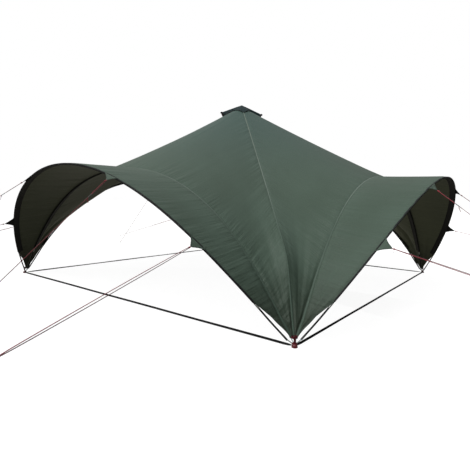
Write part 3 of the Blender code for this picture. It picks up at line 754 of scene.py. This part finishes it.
def seam_strip(line, left, right, up):
    """A grid of points over a seam, where left and right are the ways into its two panels."""
    section = []
    for step in (-1.0, -0.8, -0.3, 0.3, 0.8, 1.0):
        way = left if step < 0 else right
        rise = SEAM_RISE + SEAM_RIDGE * (1 - step**4)
        section.append(line + way * abs(step) * SEAM_HALF_WIDTH + up * rise)
    return np.stack(section, axis=1)


def add_seam(name, strip, turn_side):
    normals = unit(np.cross(np.gradient(strip, axis=0), np.gradient(strip, axis=1)))
    points, faces, _ = closed_sheet(strip, normals, CLOTH_THICKNESS)
    cut = np.tile(cloth_places(strip).reshape(-1, 3), (2, 1))
    return add_piece(name, turned_side(points, turn_side), faces, (felled_seam,), None, cut)


def other_side_of_hip(vectors):
    """Vectors of the front panel at the right hip, as the right panel has them."""
    return np.stack([-vectors[:, 1], -vectors[:, 0], vectors[:, 2]], axis=1)


hip_rows = slice(0, int(FINE_ROWS * (half_rows - 2) / (half_rows - 1)) + 1)
hip_line = fine_hip[hip_rows]
hip_way = unit(np.gradient(hip_line, axis=0))
into_front = square_to(fine_roof[hip_rows, 1] - hip_line, hip_way)
into_right = other_side_of_hip(into_front)
hip_up = unit(sheet_normals(fine_roof)[hip_rows, 0] + other_side_of_hip(sheet_normals(fine_roof)[hip_rows, 0]))
hip_strip = seam_strip(hip_line, into_front, into_right, hip_up)

seam_way = unit(np.gradient(fine_seam, axis=0))
into_roof = square_to(fine_roof[:, -2] - fine_seam, seam_way)
into_awning = square_to(fine_awning[:, 1] - fine_seam, seam_way)
seam_up = unit(sheet_normals(fine_roof)[:, -1] + sheet_normals(fine_awning)[:, 0])
arch_strip = seam_strip(fine_seam, into_roof, into_awning, seam_up)

hip_seams = {side: add_seam(f"hip_seam_{corner}", hip_strip, side) for side, corner in zip(SIDES, CORNERS)}
arch_seams = {side: add_seam(f"arch_seam_{side}", arch_strip, side) for side in SIDES}


# Bent poles: black fibreglass rods in short sections, with a steel ferrule at each foot end and
# a socket where two sections meet. Most of each rod is hidden in its sleeve.

ROD_RADIUS = 0.009
ROD_OVER_PIN = 0.024
FERRULE_RADIUS = 0.0098
FERRULE_LENGTH = 0.05
FERRULE_TAPER = 0.005
SOCKET_PLACE = 0.385
SOCKET_LENGTH = 0.06
POLE_SIDES = 16


def swept(path, radii, sides):
    """A tube of changing radius along a path, closed by flat ends, as points and faces."""
    path = np.asarray(path, float)
    ways = unit(np.gradient(path, axis=0))
    across = np.cross(ways[0], [0.0, 0.0, 1.0])
    if np.linalg.norm(across) < 1e-3:
        across = np.array([1.0, 0.0, 0.0])
    turns = 2 * math.pi * np.arange(sides) / sides
    points = []
    for here, way, radius in zip(path, ways, radii):
        across = square_to(across, way)
        over = np.cross(way, across)
        ring = np.outer(np.cos(turns), across) + np.outer(np.sin(turns), over)
        points.append(here + ring * radius)
    return np.concatenate(points), tube_faces(len(path), sides)


def tube_faces(rings, sides):
    """Faces of a tube of rings of points, with a flat face at each end."""
    faces = [tuple(range(sides)), tuple(rings * sides - sides + side for side in range(sides))]
    for base in range(0, (rings - 1) * sides, sides):
        for side in range(sides):
            after = (side + 1) % sides
            faces.append((base + side, base + after, base + sides + after, base + sides + side))
    return faces


def pole_finish():
    """Smooth black rod with fine scuffs along it, and dull steel at its end and first socket."""
    material, root = new_finish("black_rod")
    cut = root.node("Attribute", {"attribute_name": "cut"}, {}, "Vector")
    from_end = cut.part(0).maths("MINIMUM", cut.part(0), cut.part(1))
    scuffs = cut.stretched((2.0, 0.0, 90.0)).noise(1.0, 5.0).ramp(0.52, 0.75)
    end_steel = 1 - from_end.ramp(FERRULE_LENGTH, FERRULE_LENGTH + FERRULE_TAPER)
    from_socket = from_end.maths("ABSOLUTE", from_end - (SOCKET_PLACE + SOCKET_LENGTH / 2))
    steel = end_steel * 0.12 + (1 - from_socket.ramp(SOCKET_LENGTH / 2, SOCKET_LENGTH / 2 + 0.001))
    black = scuffs.mixed((0.003, 0.003, 0.0035, 1.0), (0.011, 0.011, 0.012, 1.0))
    colour = steel.mixed(black, (0.36, 0.37, 0.36, 1.0))
    gloss = {"Roughness": scuffs * 0.2 + 0.45, "Specular IOR Level": 0.15, "Metallic": steel * 0.8}
    close_finish(root, {"Base Color": colour, **gloss}, scuffs, 0.0002)
    return material


black_rod = pole_finish()
for kind, net in (("edge", net_edge_pole), ("inner", net_inner_pole)):
    line = finer(net, coarse_marks, fine_marks)
    length = running_length(line)[-1]
    stops = [0.0, FERRULE_LENGTH, FERRULE_LENGTH + FERRULE_TAPER]
    radii = [FERRULE_RADIUS, FERRULE_RADIUS, ROD_RADIUS]
    socket_end = SOCKET_PLACE + SOCKET_LENGTH
    stops += [0.15, 0.25, SOCKET_PLACE - 0.001, SOCKET_PLACE, socket_end, socket_end + 0.001]
    radii += [ROD_RADIUS] * 3 + [FERRULE_RADIUS, FERRULE_RADIUS, ROD_RADIUS]
    middle = np.linspace(socket_end + 0.02, length / 2, 90)
    half_stops = np.array([*stops, *middle])
    all_stops = np.concatenate([half_stops, length - half_stops[-2::-1]])
    all_radii = [*radii, *[ROD_RADIUS] * (2 * len(middle) - 1), *radii[::-1]]
    path = along(line, all_stops)
    path[0] += unit(path[0] - path[1]) * ROD_OVER_PIN
    path[-1] += unit(path[-1] - path[-2]) * ROD_OVER_PIN
    points, faces = swept(path, all_radii, POLE_SIDES)
    ring = np.tile(np.arange(POLE_SIDES) / POLE_SIDES * 0.05, len(all_stops))
    run = np.repeat(all_stops, POLE_SIDES)
    cut = np.stack([run, length - run, ring], axis=1)
    for side in SIDES:
        pole = add_piece(
            f"{kind}_rod_{side}", turned_side(points, side), faces, (black_rod,), None, cut
        )
        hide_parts(f"{kind}_pole_{side}")


# Corner feet: a moulded red plastic dome on the ground at each corner, with four bright steel
# pins that stand in the pole ends. A dark red webbing collar gathers the cloth above it.

FOOT_RADIUS = 0.030
FOOT_HEIGHT = 0.036
HUB_HEIGHT = 0.022
PIN_RADIUS = 0.005
SOCKET_RADIUS = 0.0085
SOCKET_REACH = 0.030
RED = (0.085, 0.004, 0.008, 1.0)
RED_WORN = (0.14, 0.014, 0.018, 1.0)


def together(*solids):
    """Points and faces of several closed shapes as one mesh."""
    points, faces, count = [], [], 0
    for some_points, some_faces in solids:
        points.append(np.asarray(some_points, float))
        faces += [tuple(int(number) + count for number in face) for face in some_faces]
        count += len(some_points)
    return np.concatenate(points), faces


def moulded_finish(name, colour, worn, roughness):
    """Moulded plastic: fine grain, and scuffs that are paler on edges and high spots."""
    material, root = new_finish(name)
    place = root.node("TexCoord", {}, {}, "Object")
    edges = root.node("NewGeometry", {}, {}, "Pointiness").ramp(0.5, 0.58)
    scuffs = place.noise(140.0, 6.0).ramp(0.5, 0.7)
    tone = (edges * 0.6 + scuffs * 0.4).mixed(colour, worn)
    grain = place.noise(2200.0, 1.0) * 0.4 + scuffs * 0.6
    close_finish(root, {"Base Color": tone, "Roughness": scuffs * 0.2 + roughness}, grain, 0.0002)
    return material


def steel_finish(name, colour, roughness):
    """Drawn and plated steel with faint lines and dull patches."""
    material, root = new_finish(name)
    place = root.node("TexCoord", {}, {}, "Object")
    dull = place.noise(30.0, 5.0).ramp(0.4, 0.7)
    lines = place.stretched((300.0, 300.0, 12.0)).noise(1.0)
    tone = dull.mixed(colour, tuple(channel * 0.72 for channel in colour[:3]) + (1.0,))
    rough = dull * 0.18 + lines * 0.1 + roughness
    close_finish(root, {"Base Color": tone, "Roughness": rough, "Metallic": 1.0}, lines, 0.0001)
    return material


red_moulding = moulded_finish("red_moulding", RED, RED_WORN, 0.38)
bright_pin = steel_finish("bright_pin", (0.33, 0.42, 0.42, 1.0), 0.24)

foot_place = np.array([HALF, -HALF, 0.0])
hub = foot_place + (0.0, 0.0, HUB_HEIGHT)
dome_profile = [(0.0, 0.0), (FOOT_RADIUS - 0.0015, 0.0), (FOOT_RADIUS, 0.0015), (FOOT_RADIUS, 0.008)]
dome_profile += [(FOOT_RADIUS - 0.0022, 0.0095), (FOOT_RADIUS - 0.0022, FOOT_HEIGHT * 0.42)]
for angle in range(10, 90, 10):
    turn = math.radians(angle)
    reach = FOOT_RADIUS - 0.0022
    dome_profile.append((reach * math.cos(turn), FOOT_HEIGHT * (0.42 + 0.58 * math.sin(turn))))
dome_profile.append((0.0, FOOT_HEIGHT))
dome_points, dome_faces = turned(dome_profile)


def right_sides_left_end(vector):
    """A vector of the front side's left end, as it is at the right side's near end."""
    return np.array([-vector[1], vector[0], vector[2]])


sockets, pins = [(dome_points + foot_place, dome_faces)], []
for net in (net_edge_pole, net_inner_pole):
    near = (net[0], unit(net[1] - net[0]))
    far = tuple(right_sides_left_end(vector) for vector in (net[-1], unit(net[-2] - net[-1])))
    for end, rise in (near, far):
        tip = end - rise * 0.0004
        way = unit(tip - hub)
        shoulder = hub + way * SOCKET_REACH
        radii = (0.006, SOCKET_RADIUS, SOCKET_RADIUS, SOCKET_RADIUS * 0.8)
        path = (hub + way * 0.012, hub + way * 0.02, shoulder, shoulder + way * 0.0015)
        sockets.append(swept(path, radii, 20))
        bend = tip - rise * 0.014
        steps = np.linspace(0.0, 1.0, 6)[:, None]
        curve = (1 - steps) ** 2 * shoulder + 2 * steps * (1 - steps) * bend + steps**2 * tip
        pins.append(swept(np.concatenate([[hub + way * 0.02], curve]), [PIN_RADIUS] * 7, 14))
for number, corner in enumerate(CORNERS):
    shape = together(*sockets)
    dome = add_piece(
        f"foot_moulding_{corner}", turned_side(shape[0], SIDES[number]), shape[1], (red_moulding,)
    )
    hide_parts(f"corner_foot_{corner}")
    shape = together(*pins)
    add_piece(
        f"foot_pins_{corner}", turned_side(shape[0], SIDES[number]), shape[1], (bright_pin,)
    )


# Ground straps: black webbing from foot to foot that keeps the arches from spreading. Each is looped and sewn at
# one end and runs through a ladder buckle near the other; neither the loop nor the buckle is modelled here.

STRAP_WIDTH = 0.025
STRAP_THICKNESS = 0.002
STRAP_END_HEIGHT = 0.014
STRAP_LOW = 0.0015
STRAP_ROWS = 160
STRAP_TWIST = math.radians(60)


def webbing_finish(name, colour, worn):
    """Woven webbing: herringbone ribs along the strap and thick selvedges."""
    material, root = new_finish(name)
    cut = root.node("Attribute", {"attribute_name": "cut"}, {}, "Vector")
    lengthwise, from_edge, to_edge = cut.part(0), cut.part(1), cut.part(2)
    chevron = from_edge.maths("PINGPONG", from_edge, 0.00315)
    ribs = (lengthwise + chevron).wave(0.0022)
    yarns = from_edge.wave(0.0016)
    nearest = from_edge.maths("MINIMUM", from_edge, to_edge)
    selvedge = 1 - nearest.ramp(0.0008, 0.002)
    fluff = cut.noise(420.0, 3.0)
    tone = (ribs * 0.45 + fluff * 0.4).mixed(colour, worn)
    height = ribs * 0.6 + yarns * 0.25 + selvedge * 0.3 + fluff * 0.15
    close_finish(root, {"Base Color": tone, "Roughness": 0.85, "Specular IOR Level": 0.2}, height, 0.0006)
    return material


black_webbing = webbing_finish("black_strap", (0.004, 0.004, 0.004, 1.0), (0.012, 0.012, 0.0125, 1.0))
dark_red_webbing = webbing_finish("dark_red_strap", (0.050, 0.006, 0.010, 1.0), (0.11, 0.014, 0.020, 1.0))
black_moulding = moulded_finish("black_moulding", (0.008, 0.008, 0.009, 1.0), (0.03, 0.03, 0.03, 1.0), 0.4)


def bundle(parts):
    """Cords, knots and the like as one mesh, with their places joined."""
    points, faces = together(*[(part[0], part[1]) for part in parts])
    return points, faces, np.concatenate([part[2] for part in parts])


def band(path, across, up, width, thickness):
    """A flat strap with rounded edges along a path, as points, faces and places on the strap."""
    section = [(-0.5, 0.0), (-0.47, 0.38), (-0.4, 0.5), (0.4, 0.5), (0.47, 0.38), (0.5, 0.0)]
    section += [(0.47, -0.38), (0.4, -0.5), (-0.4, -0.5), (-0.47, -0.38)]
    path, across, up = (np.asarray(value, float) for value in (path, across, up))
    across = np.broadcast_to(across, path.shape)
    up = np.broadcast_to(up, path.shape)
    rings = [path + across * side * width + up * rise * thickness for side, rise in section]
    points = np.stack(rings, axis=1).reshape(-1, 3)
    run = np.repeat(running_length(path), len(section))
    from_edge = np.tile([(side + 0.5) * width for side, _ in section], len(path))
    cut = np.stack([run, from_edge, width - from_edge], axis=1)
    return points, tube_faces(len(path), len(section)), cut


strap_reach = HALF - FOOT_RADIUS - 0.0005
steps = np.linspace(-1.0, 1.0, STRAP_ROWS)
twist = STRAP_TWIST * (1 - steps**60) * (1 + 0.12 * np.sin(steps * 9.0))
hang = STRAP_LOW / 2 + (STRAP_END_HEIGHT - STRAP_LOW) * steps**4 + STRAP_THICKNESS / 2
sag = np.maximum(hang, (STRAP_WIDTH / 2) * np.sin(twist) + STRAP_THICKNESS)
strap_path = np.stack([strap_reach * steps, np.full(STRAP_ROWS, -HALF), sag], axis=1)
strap_way = unit(np.gradient(strap_path, axis=0))
strap_across = np.stack([np.zeros(STRAP_ROWS), np.cos(twist), np.sin(twist)], axis=1)
strap_up = np.cross(strap_way, strap_across)
strap_points, strap_faces, strap_cut = band(strap_path, strap_across, strap_up, STRAP_WIDTH, STRAP_THICKNESS)

COLLAR_HEIGHT = 0.096
COLLAR_WIDTH = 0.024
COLLAR_REACH = 0.029
COLLAR_TAB_WIDTH = 0.025
COLLAR_TAB_FOOT = 0.034
corner_axis = np.array([DRAWN_AXIS, -DRAWN_AXIS, 0.0])
outward = unit(np.array([1.0, -1.0, 0.0]))
sideways = unit(np.array([1.0, 1.0, 0.0]))
up_way = np.array([0.0, 0.0, 1.0])
ring_turns = np.linspace(-0.3, 2 * math.pi + 0.3, 60)[:, None]
ring_reach = COLLAR_REACH + 0.0012 * ring_turns / math.pi
ring_way = outward * np.cos(ring_turns) * 0.72 + sideways * np.sin(ring_turns)
ring_path = corner_axis + up_way * COLLAR_HEIGHT + ring_way * ring_reach
collar_band = band(ring_path, up_way, unit(ring_way), COLLAR_WIDTH, 0.0018)
tab_steps = np.linspace(0.0, 1.0, 14)[:, None]
tab_top = corner_axis + up_way * (COLLAR_HEIGHT + 0.008) + outward * COLLAR_REACH * 0.4
tab_low = foot_place + up_way * COLLAR_TAB_FOOT + outward * 0.006
collar_tab = band(tab_top * (1 - tab_steps) + tab_low * tab_steps, sideways, outward, COLLAR_TAB_WIDTH, 0.0036)
collar_shape = bundle((collar_band, collar_tab))
for number, corner in enumerate(CORNERS):
    add_piece(
        f"foot_collar_{corner}",
        turned_side(collar_shape[0], SIDES[number]),
        collar_shape[1],
        (dark_red_webbing,),
        None,
        collar_shape[2],
    )

for side in SIDES:
    strap = add_piece(
        f"ground_webbing_{side}",
        turned_side(strap_points, side),
        strap_faces,
        (black_webbing,),
        None,
        strap_cut,
    )
    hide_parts(f"ground_strap_{side}")


# The cap over the peak: a small square of bluish coated cloth on the pole's tip, with its hem rolled round a
# cord. Two opposite corners arch over the hips as hoods and let warm air out underneath; the other two sag a
# little.

CAP_TOP = PEAK + 0.020
CAP_THICKNESS = 0.004
CAP_CLOTH = 0.0015
CAP_SIDE = 0.195
CAP_SLOPE = 0.64
CAP_CORNER_SAG = 0.016
CAP_CORNER_TURN = math.radians(10)
CAP_HOOD = 0.385
CAP_HOOD_LIFT = 0.0215
CAP_HOOD_TURN = math.radians(11)
CAP_LIP = 0.078
CAP_LIP_TURN = math.radians(8)
CAP_LIP_SPREAD = math.radians(3.5)
CAP_FINE_RINGS = 26
CAP_FINE_TURNS = 176
HEM_RADIUS = 0.0045
HEM_SIDES = 12
HOOD_HEM = 2.6


def from_corner(angle):
    """The turn from the nearest corner of the cap, and whether that corner is a hood."""
    return angle % (math.pi / 2) - math.pi / 4, (angle // (math.pi / 2)) % 2 == 0


def cap_point(angle, share):
    """A point on the cap, by its angle about the axis and its share of the way out."""
    turn, hooded = from_corner(angle)
    reach = CAP_SIDE / math.cos(math.pi / 4 - abs(turn))
    drop = CAP_SLOPE * reach
    curl = 0.0
    if hooded:
        width = math.exp(-((turn / CAP_HOOD_TURN) ** 4))
        reach += (CAP_HOOD - CAP_SIDE * math.sqrt(2)) * width
        drop -= CAP_HOOD_LIFT * width
        curl = CAP_LIP * math.exp(-(((abs(turn) - CAP_LIP_TURN) / CAP_LIP_SPREAD) ** 2))
    else:
        curl = CAP_CORNER_SAG * math.exp(-((turn / CAP_CORNER_TURN) ** 2))
    radius = share * reach
    return radius * math.cos(angle), radius * math.sin(angle), CAP_TOP - share * drop - share**4 * curl


def cap_finish():
    material, root = new_finish("cap_outside")
    place = root.node("TexCoord", {}, {}, "Object")
    clouds = place.noise(6.0, 4.0).ramp(0.35, 0.7)
    creases = place.stretched((30.0, 30.0, 9.0)).noise(1.0, 3.0)
    teal = clouds.mixed((0.018, 0.044, 0.043, 1.0), (0.024, 0.054, 0.052, 1.0))
    # A greener, paler teal towards the cap's lower rim.
    greener_towards_rim = (1 - place.part(2).ramp(CAP_TOP - 0.17, CAP_TOP - 0.03)).mixed(teal, (0.044, 0.078, 0.062, 1.0))
    # Painted shade: a near-black teal meant for the hoods past 0.27 m from the axis. The length here takes in
    # the height as well, so this painted shade covers the whole cap.
    from_axis = place.stretched((1.0, 1.0, 0.0)).node("VectorMath", {"operation": "LENGTH"}, {0: place}, 1)
    colour = from_axis.ramp(0.27, 0.33).mixed(greener_towards_rim, (0.009, 0.022, 0.023, 1.0))
    gloss = {"Roughness": 0.55, "Specular IOR Level": 0.10}
    close_finish(root, {"Base Color": colour, **gloss}, creases, 0.004)
    return material


cap_outside = cap_finish()
cap_turns = np.linspace(0.0, 2 * math.pi, CAP_FINE_TURNS, endpoint=False)
cap_grid = np.array([
    [cap_point(angle, ring / CAP_FINE_RINGS) for angle in [*cap_turns, cap_turns[0]]]
    for ring in range(1, CAP_FINE_RINGS + 1)
])
sides = CAP_FINE_TURNS
CAP_AREA = sheet_area(cap_grid)
cap_points = [(0.0, 0.0, CAP_TOP), *cap_grid[:, :-1].reshape(-1, 3)]
cap_points += [(x, y, z - CAP_CLOTH) for x, y, z in cap_points]
start, rim = 1 + CAP_FINE_RINGS * sides, 1 + (CAP_FINE_RINGS - 1) * sides
cap_faces = []
for side in range(sides):
    after = (side + 1) % sides
    cap_faces.append((0, 1 + side, 1 + after))
    cap_faces.append((start, start + 1 + after, start + 1 + side))
    cap_faces.append((rim + side, start + rim + side, start + rim + after, rim + after))
for base in range(1, rim, sides):
    for side in range(sides):
        after = (side + 1) % sides
        face = (base + side, base + sides + side, base + sides + after, base + after)
        cap_faces.append(face)
        cap_faces.append(tuple(start + number for number in face[::-1]))
cap = add_piece("cap_cloth_panel", cap_points, cap_faces, (cap_outside,))
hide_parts("vent_cap")

hem_angles = np.linspace(0, 2 * math.pi, 2 * CAP_FINE_TURNS, endpoint=False)
hem_path = np.array([cap_point(angle, 1.0) for angle in hem_angles])
hem_path[:, 2] -= HEM_RADIUS * 0.6


def closed_tube(path, radii, sides):
    """A ring-shaped tube along a closed path, as points and faces."""
    ways = unit(np.roll(path, -1, axis=0) - np.roll(path, 1, axis=0))
    across = square_to(np.broadcast_to([0.0, 0.0, 1.0], path.shape), ways)
    over = np.cross(ways, across)
    points = []
    for side in range(sides):
        turn = 2 * math.pi * side / sides
        points.append(path + (across * math.cos(turn) + over * math.sin(turn)) * radii[:, None])
    points = np.stack(points, axis=1).reshape(-1, 3)
    faces = []
    for ring in range(len(path)):
        here, there = ring * sides, (ring + 1) % len(path) * sides
        for side in range(sides):
            after = (side + 1) % sides
            faces.append((here + side, here + after, there + after, there + side))
    return points, faces


hem_corners = [from_corner(angle) for angle in hem_angles]
hood_share = np.array([hooded * math.exp(-((turn / math.radians(15)) ** 4)) for turn, hooded in hem_corners])
hem_radii = HEM_RADIUS * (1 + HOOD_HEM * hood_share)
hem_points, hem_faces = closed_tube(hem_path, hem_radii, HEM_SIDES)
hem_run = np.repeat(running_length(hem_path), HEM_SIDES)
hem_around = np.tile(np.arange(HEM_SIDES) * 2 * math.pi * HEM_RADIUS / HEM_SIDES, len(hem_path))
hem_cut = np.stack([hem_run, hem_around, np.full_like(hem_run, 0.02)], axis=1)
cap_hem = add_piece("cap_hem", hem_points, hem_faces, (black_sleeve,), None, hem_cut)


# The pole under the peak: two steel tubes, the thinner one pushed into the wider, on a round
# foot plate. A disc near its top carries the roof's collar, and its rubber tip carries the cap.

MAST_RADIUS = 0.015
MAST_LOWER_RADIUS = 0.0175
MAST_JOINT = PEAK / 2
MAST_HEAD = PEAK - HIP_TOP_SLOPE * COLLAR_RADIUS - 0.0079
mast_profile = [
    (0.0, 0.0),
    (0.058, 0.0),
    (0.060, 0.002),
    (0.060, 0.008),
    (0.058, 0.010),
    (0.030, 0.0115),
    (0.026, 0.014),
    (0.0235, 0.040),
    (0.021, 0.050),
    (MAST_LOWER_RADIUS, 0.051),
    (MAST_LOWER_RADIUS, MAST_JOINT - 0.03),
    (MAST_LOWER_RADIUS + 0.0012, MAST_JOINT - 0.028),
    (MAST_LOWER_RADIUS + 0.0012, MAST_JOINT),
    (MAST_LOWER_RADIUS - 0.0005, MAST_JOINT + 0.002),
    (MAST_RADIUS, MAST_JOINT + 0.003),
    (MAST_RADIUS, MAST_HEAD - 0.062),
    (0.019, MAST_HEAD - 0.060),
    (0.024, MAST_HEAD - 0.040),
    (0.050, MAST_HEAD - 0.020),
    (0.052, MAST_HEAD - 0.018),
    (0.052, MAST_HEAD - 0.002),
    (0.050, MAST_HEAD),
    (0.016, MAST_HEAD),
    (0.016, CAP_TOP - CAP_THICKNESS - 0.022),
    (0.011, CAP_TOP - CAP_THICKNESS - 0.008),
    (0.0, CAP_TOP - CAP_THICKNESS - 0.0004),
]
mast_steel = steel_finish("mast_steel", (0.38, 0.39, 0.40, 1.0), 0.34)
mast_points, mast_faces = turned(mast_profile)
mast_heights = [np.mean([mast_points[number][2] for number in face]) for face in mast_faces]
plastic = [z < 0.0508 or z > MAST_HEAD - 0.0615 for z in mast_heights]
mast = add_piece(
    "mast_tube", mast_points, mast_faces, (mast_steel, black_moulding), plastic
)
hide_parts("centre_pole")


# Guy points: on each awning's edge four doubled triangles of canopy cloth, and from their tips
# thin red braided lines. A line is doubled from the tab to its black plastic runner, where it is
# drawn tight, and single from there to a steel peg. The free end hangs from the runner.

GUYS = {
    "lower": {"at": LOWER_TAB, "way": (0.207, 1.0, 0.22), "tab": 0.13, "runner": 1.87, "gap": 0.019},
    "upper": {"at": UPPER_TAB, "way": (0.234, 1.0, 0.75), "tab": 0.09, "runner": 0.25, "gap": 0.010},
}
TAB_THICKNESS = 0.0018
LINE_RADIUS = 0.003
LINE_NEAR = 0.004
LINE_TAIL = 0.05
RUNNER_LENGTH = 0.055
PEG_WIRE = 0.004
PEG_BEND = 0.009
PEG_TOP = 0.035
LINE_RED = (0.42, 0.010, 0.030, 1.0)
# The dark of the braid between its strands, and the painted shade of whole strands.
LINE_DARK_AND_SHADE = (0.055, 0.005, 0.009, 1.0)


def line_finish():
    """Braided polyester line: two sets of strands crossing round it, with painted shade where the cut's third
    number is below 1.
    """
    material, root = new_finish("red_braid")
    cut = root.node("Attribute", {"attribute_name": "cut"}, {}, "Vector")
    run, around = cut.part(0), cut.part(1)
    braid = (run + around).wave(0.0042) * (run - around).wave(0.0042)
    fluff = cut.noise(300.0, 2.0)
    # Painted shade: the cut's third number dims the red, so parts of the same line are painted dark.
    tone = ((braid * 0.5 + fluff * 0.3 + 0.2) * cut.part(2)).mixed(LINE_DARK_AND_SHADE, LINE_RED)
    close_finish(root, {"Base Color": tone, "Roughness": 0.7, "Sheen Weight": 0.15}, braid, 0.0005)
    return material


red_braid = line_finish()


def cord(path, radius, painted_light=1.0, sides=8):
    """A round cord as points, faces, and places along and round it, with painted_light as its share of bright
    red; below 1 the same line is painted darker as shade.
    """
    path = np.asarray(path, float)
    points, faces = swept(path, [radius] * len(path), sides)
    run = np.repeat(running_length(path), sides)
    around = np.tile(np.arange(sides) / sides * 2 * math.pi * radius, len(path))
    return points, faces, np.stack([run, around, run * 0 + painted_light], axis=1)


def knot(centre, way, radius):
    """An overhand knot as three turns of cord wound close round the line."""
    across = unit(np.cross(way, [0.0, 0.0, 1.0]))
    over = np.cross(way, across)
    turns = np.linspace(0.0, 6 * math.pi, 40)[:, None]
    wind = across * np.cos(turns) + over * np.sin(turns)
    return cord(centre + wind * radius * 0.9 + way * (turns / (6 * math.pi) - 0.5) * radius * 3.2, radius * 0.62)


def runner_shape(centre, way):
    """A flat plastic line runner, waisted in the middle, with rounded ends."""
    across = unit(np.cross(way, [0.0, 0.0, 1.0]))
    over = np.cross(way, across)
    stations = ((-0.5, 0.0045, 0.0022), (-0.47, 0.0070, 0.0034), (-0.38, 0.0080, 0.0040))
    stations += ((-0.15, 0.0062, 0.0040), (0.15, 0.0062, 0.0040), (0.38, 0.0080, 0.0040))
    stations += ((0.47, 0.0070, 0.0034), (0.5, 0.0045, 0.0022))
    turns = np.linspace(0.0, 2 * math.pi, 16, endpoint=False)
    rings = []
    for place, wide, thick in stations:
        ring = np.outer(np.cos(turns) * wide, across) + np.outer(np.sin(turns) * thick, over)
        rings.append(centre + way * place * RUNNER_LENGTH + ring)
    return np.concatenate(rings), tube_faces(len(stations), 16)


def tab_sheet(base, tip, fold):
    """A triangular tab as a grid: from a fold over the awning's edge to its tip."""
    rows = []
    for step in np.linspace(0.0, 1.0, 14):
        waist = 1 - 0.16 * math.sin(math.pi * step)
        left, right = (end * (1 - step) + tip * step for end in base)
        centre = (left + right) / 2
        rows.append([centre + (left - centre) * waist * side for side in np.linspace(1.0, -1.0, 13)])
    grid = np.array(rows)
    return np.concatenate([[grid[0] + fold], grid])


tabs = []
for height, guy in GUYS.items():
    row = int(np.argmin(abs(stations - guy["at"][0])))
    for end, turn, first in (("right", 1, row), ("left", -1, len(net_edge) - 2 - row)):
        sideways, out, down = guy["way"]
        way = unit(np.array([turn * sideways, -out, -down]))
        middle = (net_edge[first] + net_edge[first + 1]) / 2
        tip = middle + way * guy["tab"]
        base = (net_edge[first] + awning_up[first] * 0.003, net_edge[first + 1] + awning_up[first] * 0.003)
        fold = -awning_out[first] * 0.03 + awning_up[first] * 0.0012
        grid = tab_sheet(base, tip - way * 0.003, fold)
        normals = unit(np.cross(np.gradient(grid, axis=0), np.gradient(grid, axis=1)) + 1e-12)
        normals *= np.sign(normals[7, 6] @ awning_up[first])
        points, faces, top_count = closed_sheet(grid, normals, TAB_THICKNESS)
        black = np.arange(len(faces)) >= top_count
        tabs.append((points, faces, np.tile(cloth_places(grid).reshape(-1, 3), (2, 1)), black))

        start = tip + way * 0.0004
        ground = start + way * (start[2] - PEG_TOP) / -way[2]
        across = unit(np.cross(way, [0.0, 0.0, 1.0]))
        runner = start + way * (guy["runner"] + RUNNER_LENGTH / 2)
        parts = []
        for hand in (-1, 1):
            steps = np.linspace(0.0, 1.0, 30)[:, None]
            strand = start + way * steps * guy["runner"]
            spread = hand * (LINE_NEAR + (guy["gap"] - LINE_NEAR) * np.sin(math.pi * steps) ** 0.5)
            # Painted shade: of the doubled line, one strand is painted dark and the other bright red.
            parts.append(cord(strand - way * 0.004 + across * spread, LINE_RADIUS, 0.55 + 0.45 * hand))
        bow = np.linspace(-math.pi / 2, math.pi / 2, 13)[:, None]
        loop = start - way * 0.004 + (across * np.sin(bow) - way * np.cos(bow)) * LINE_NEAR
        parts.append(cord(loop, LINE_RADIUS))
        parts.append(knot(start + way * 0.012, way, LINE_RADIUS * 1.9))
        steps = np.linspace(0.0, 1.0, 30)[:, None]
        # Painted shade: the single run to the peg is painted a darker red.
        parts.append(cord(runner + (ground - runner) * steps, LINE_RADIUS, 0.45))
        parts.append(knot(ground - way * 0.02, way, LINE_RADIUS * 1.6))
        hang = runner + way * RUNNER_LENGTH * 0.4
        drop = np.linspace(0.0, 1.0, 14)[:, None]
        tail = hang + way * drop * 0.02 + across * np.sin(drop * 5) * 0.008
        tail = tail - up_way * drop * LINE_TAIL
        tail[:, 2] = np.maximum(tail[:, 2], LINE_RADIUS)
        parts.append(cord(tail, LINE_RADIUS))
        line = bundle(parts)
        slide = runner_shape(runner, way)
        level_way = unit(way * (1, 1, 0))
        bend = np.linspace(0.0, math.pi, 9)[:, None]
        hook_centre = ground * (1, 1, 0) + up_way * (PEG_TOP - PEG_WIRE) - level_way * PEG_BEND
        hook = hook_centre + (level_way * np.cos(bend) + up_way * np.sin(bend)) * PEG_BEND
        peg_path = np.concatenate([[hook[0] * (1, 1, 0)], hook])
        peg = swept(peg_path, [PEG_WIRE] * len(peg_path), 12)
        for number, side in enumerate(SIDES):
            piece = add_piece(
                f"line_{height}_{side}_{end}",
                turned_side(line[0], side),
                line[1],
                (red_braid,),
                None,
                line[2],
            )
            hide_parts(f"guy_{height}_{side}_{end}")
            add_piece(
                f"runner_{height}_{side}_{end}",
                turned_side(slide[0], side),
                slide[1],
                (black_moulding,),
            )
            add_piece(
                f"peg_{height}_{side}_{end}", turned_side(peg[0], side), peg[1], (bright_pin,)
            )

tab_points, tab_faces, tab_cut = bundle(tabs)
tab_black = np.concatenate([tab[3] for tab in tabs])
guy_tabs = {
    side: add_piece(
        f"guy_tabs_{side}",
        turned_side(tab_points, side),
        tab_faces,
        (canopy_outside, black_sleeve),
        tab_black,
        tab_cut,
    )
    for side in SIDES
}


# The imported roof panels and awnings are hidden here, and the areas of the fine roof and awning are worked out
# but not kept. Seams, sleeves and tabs are sewn on to the panels.

for number, side in enumerate(SIDES):
    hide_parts(f"roof_panel_{side}")
    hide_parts(f"awning_{side}")
    sheet_area(fine_roof)
    sheet_area(fine_awning)
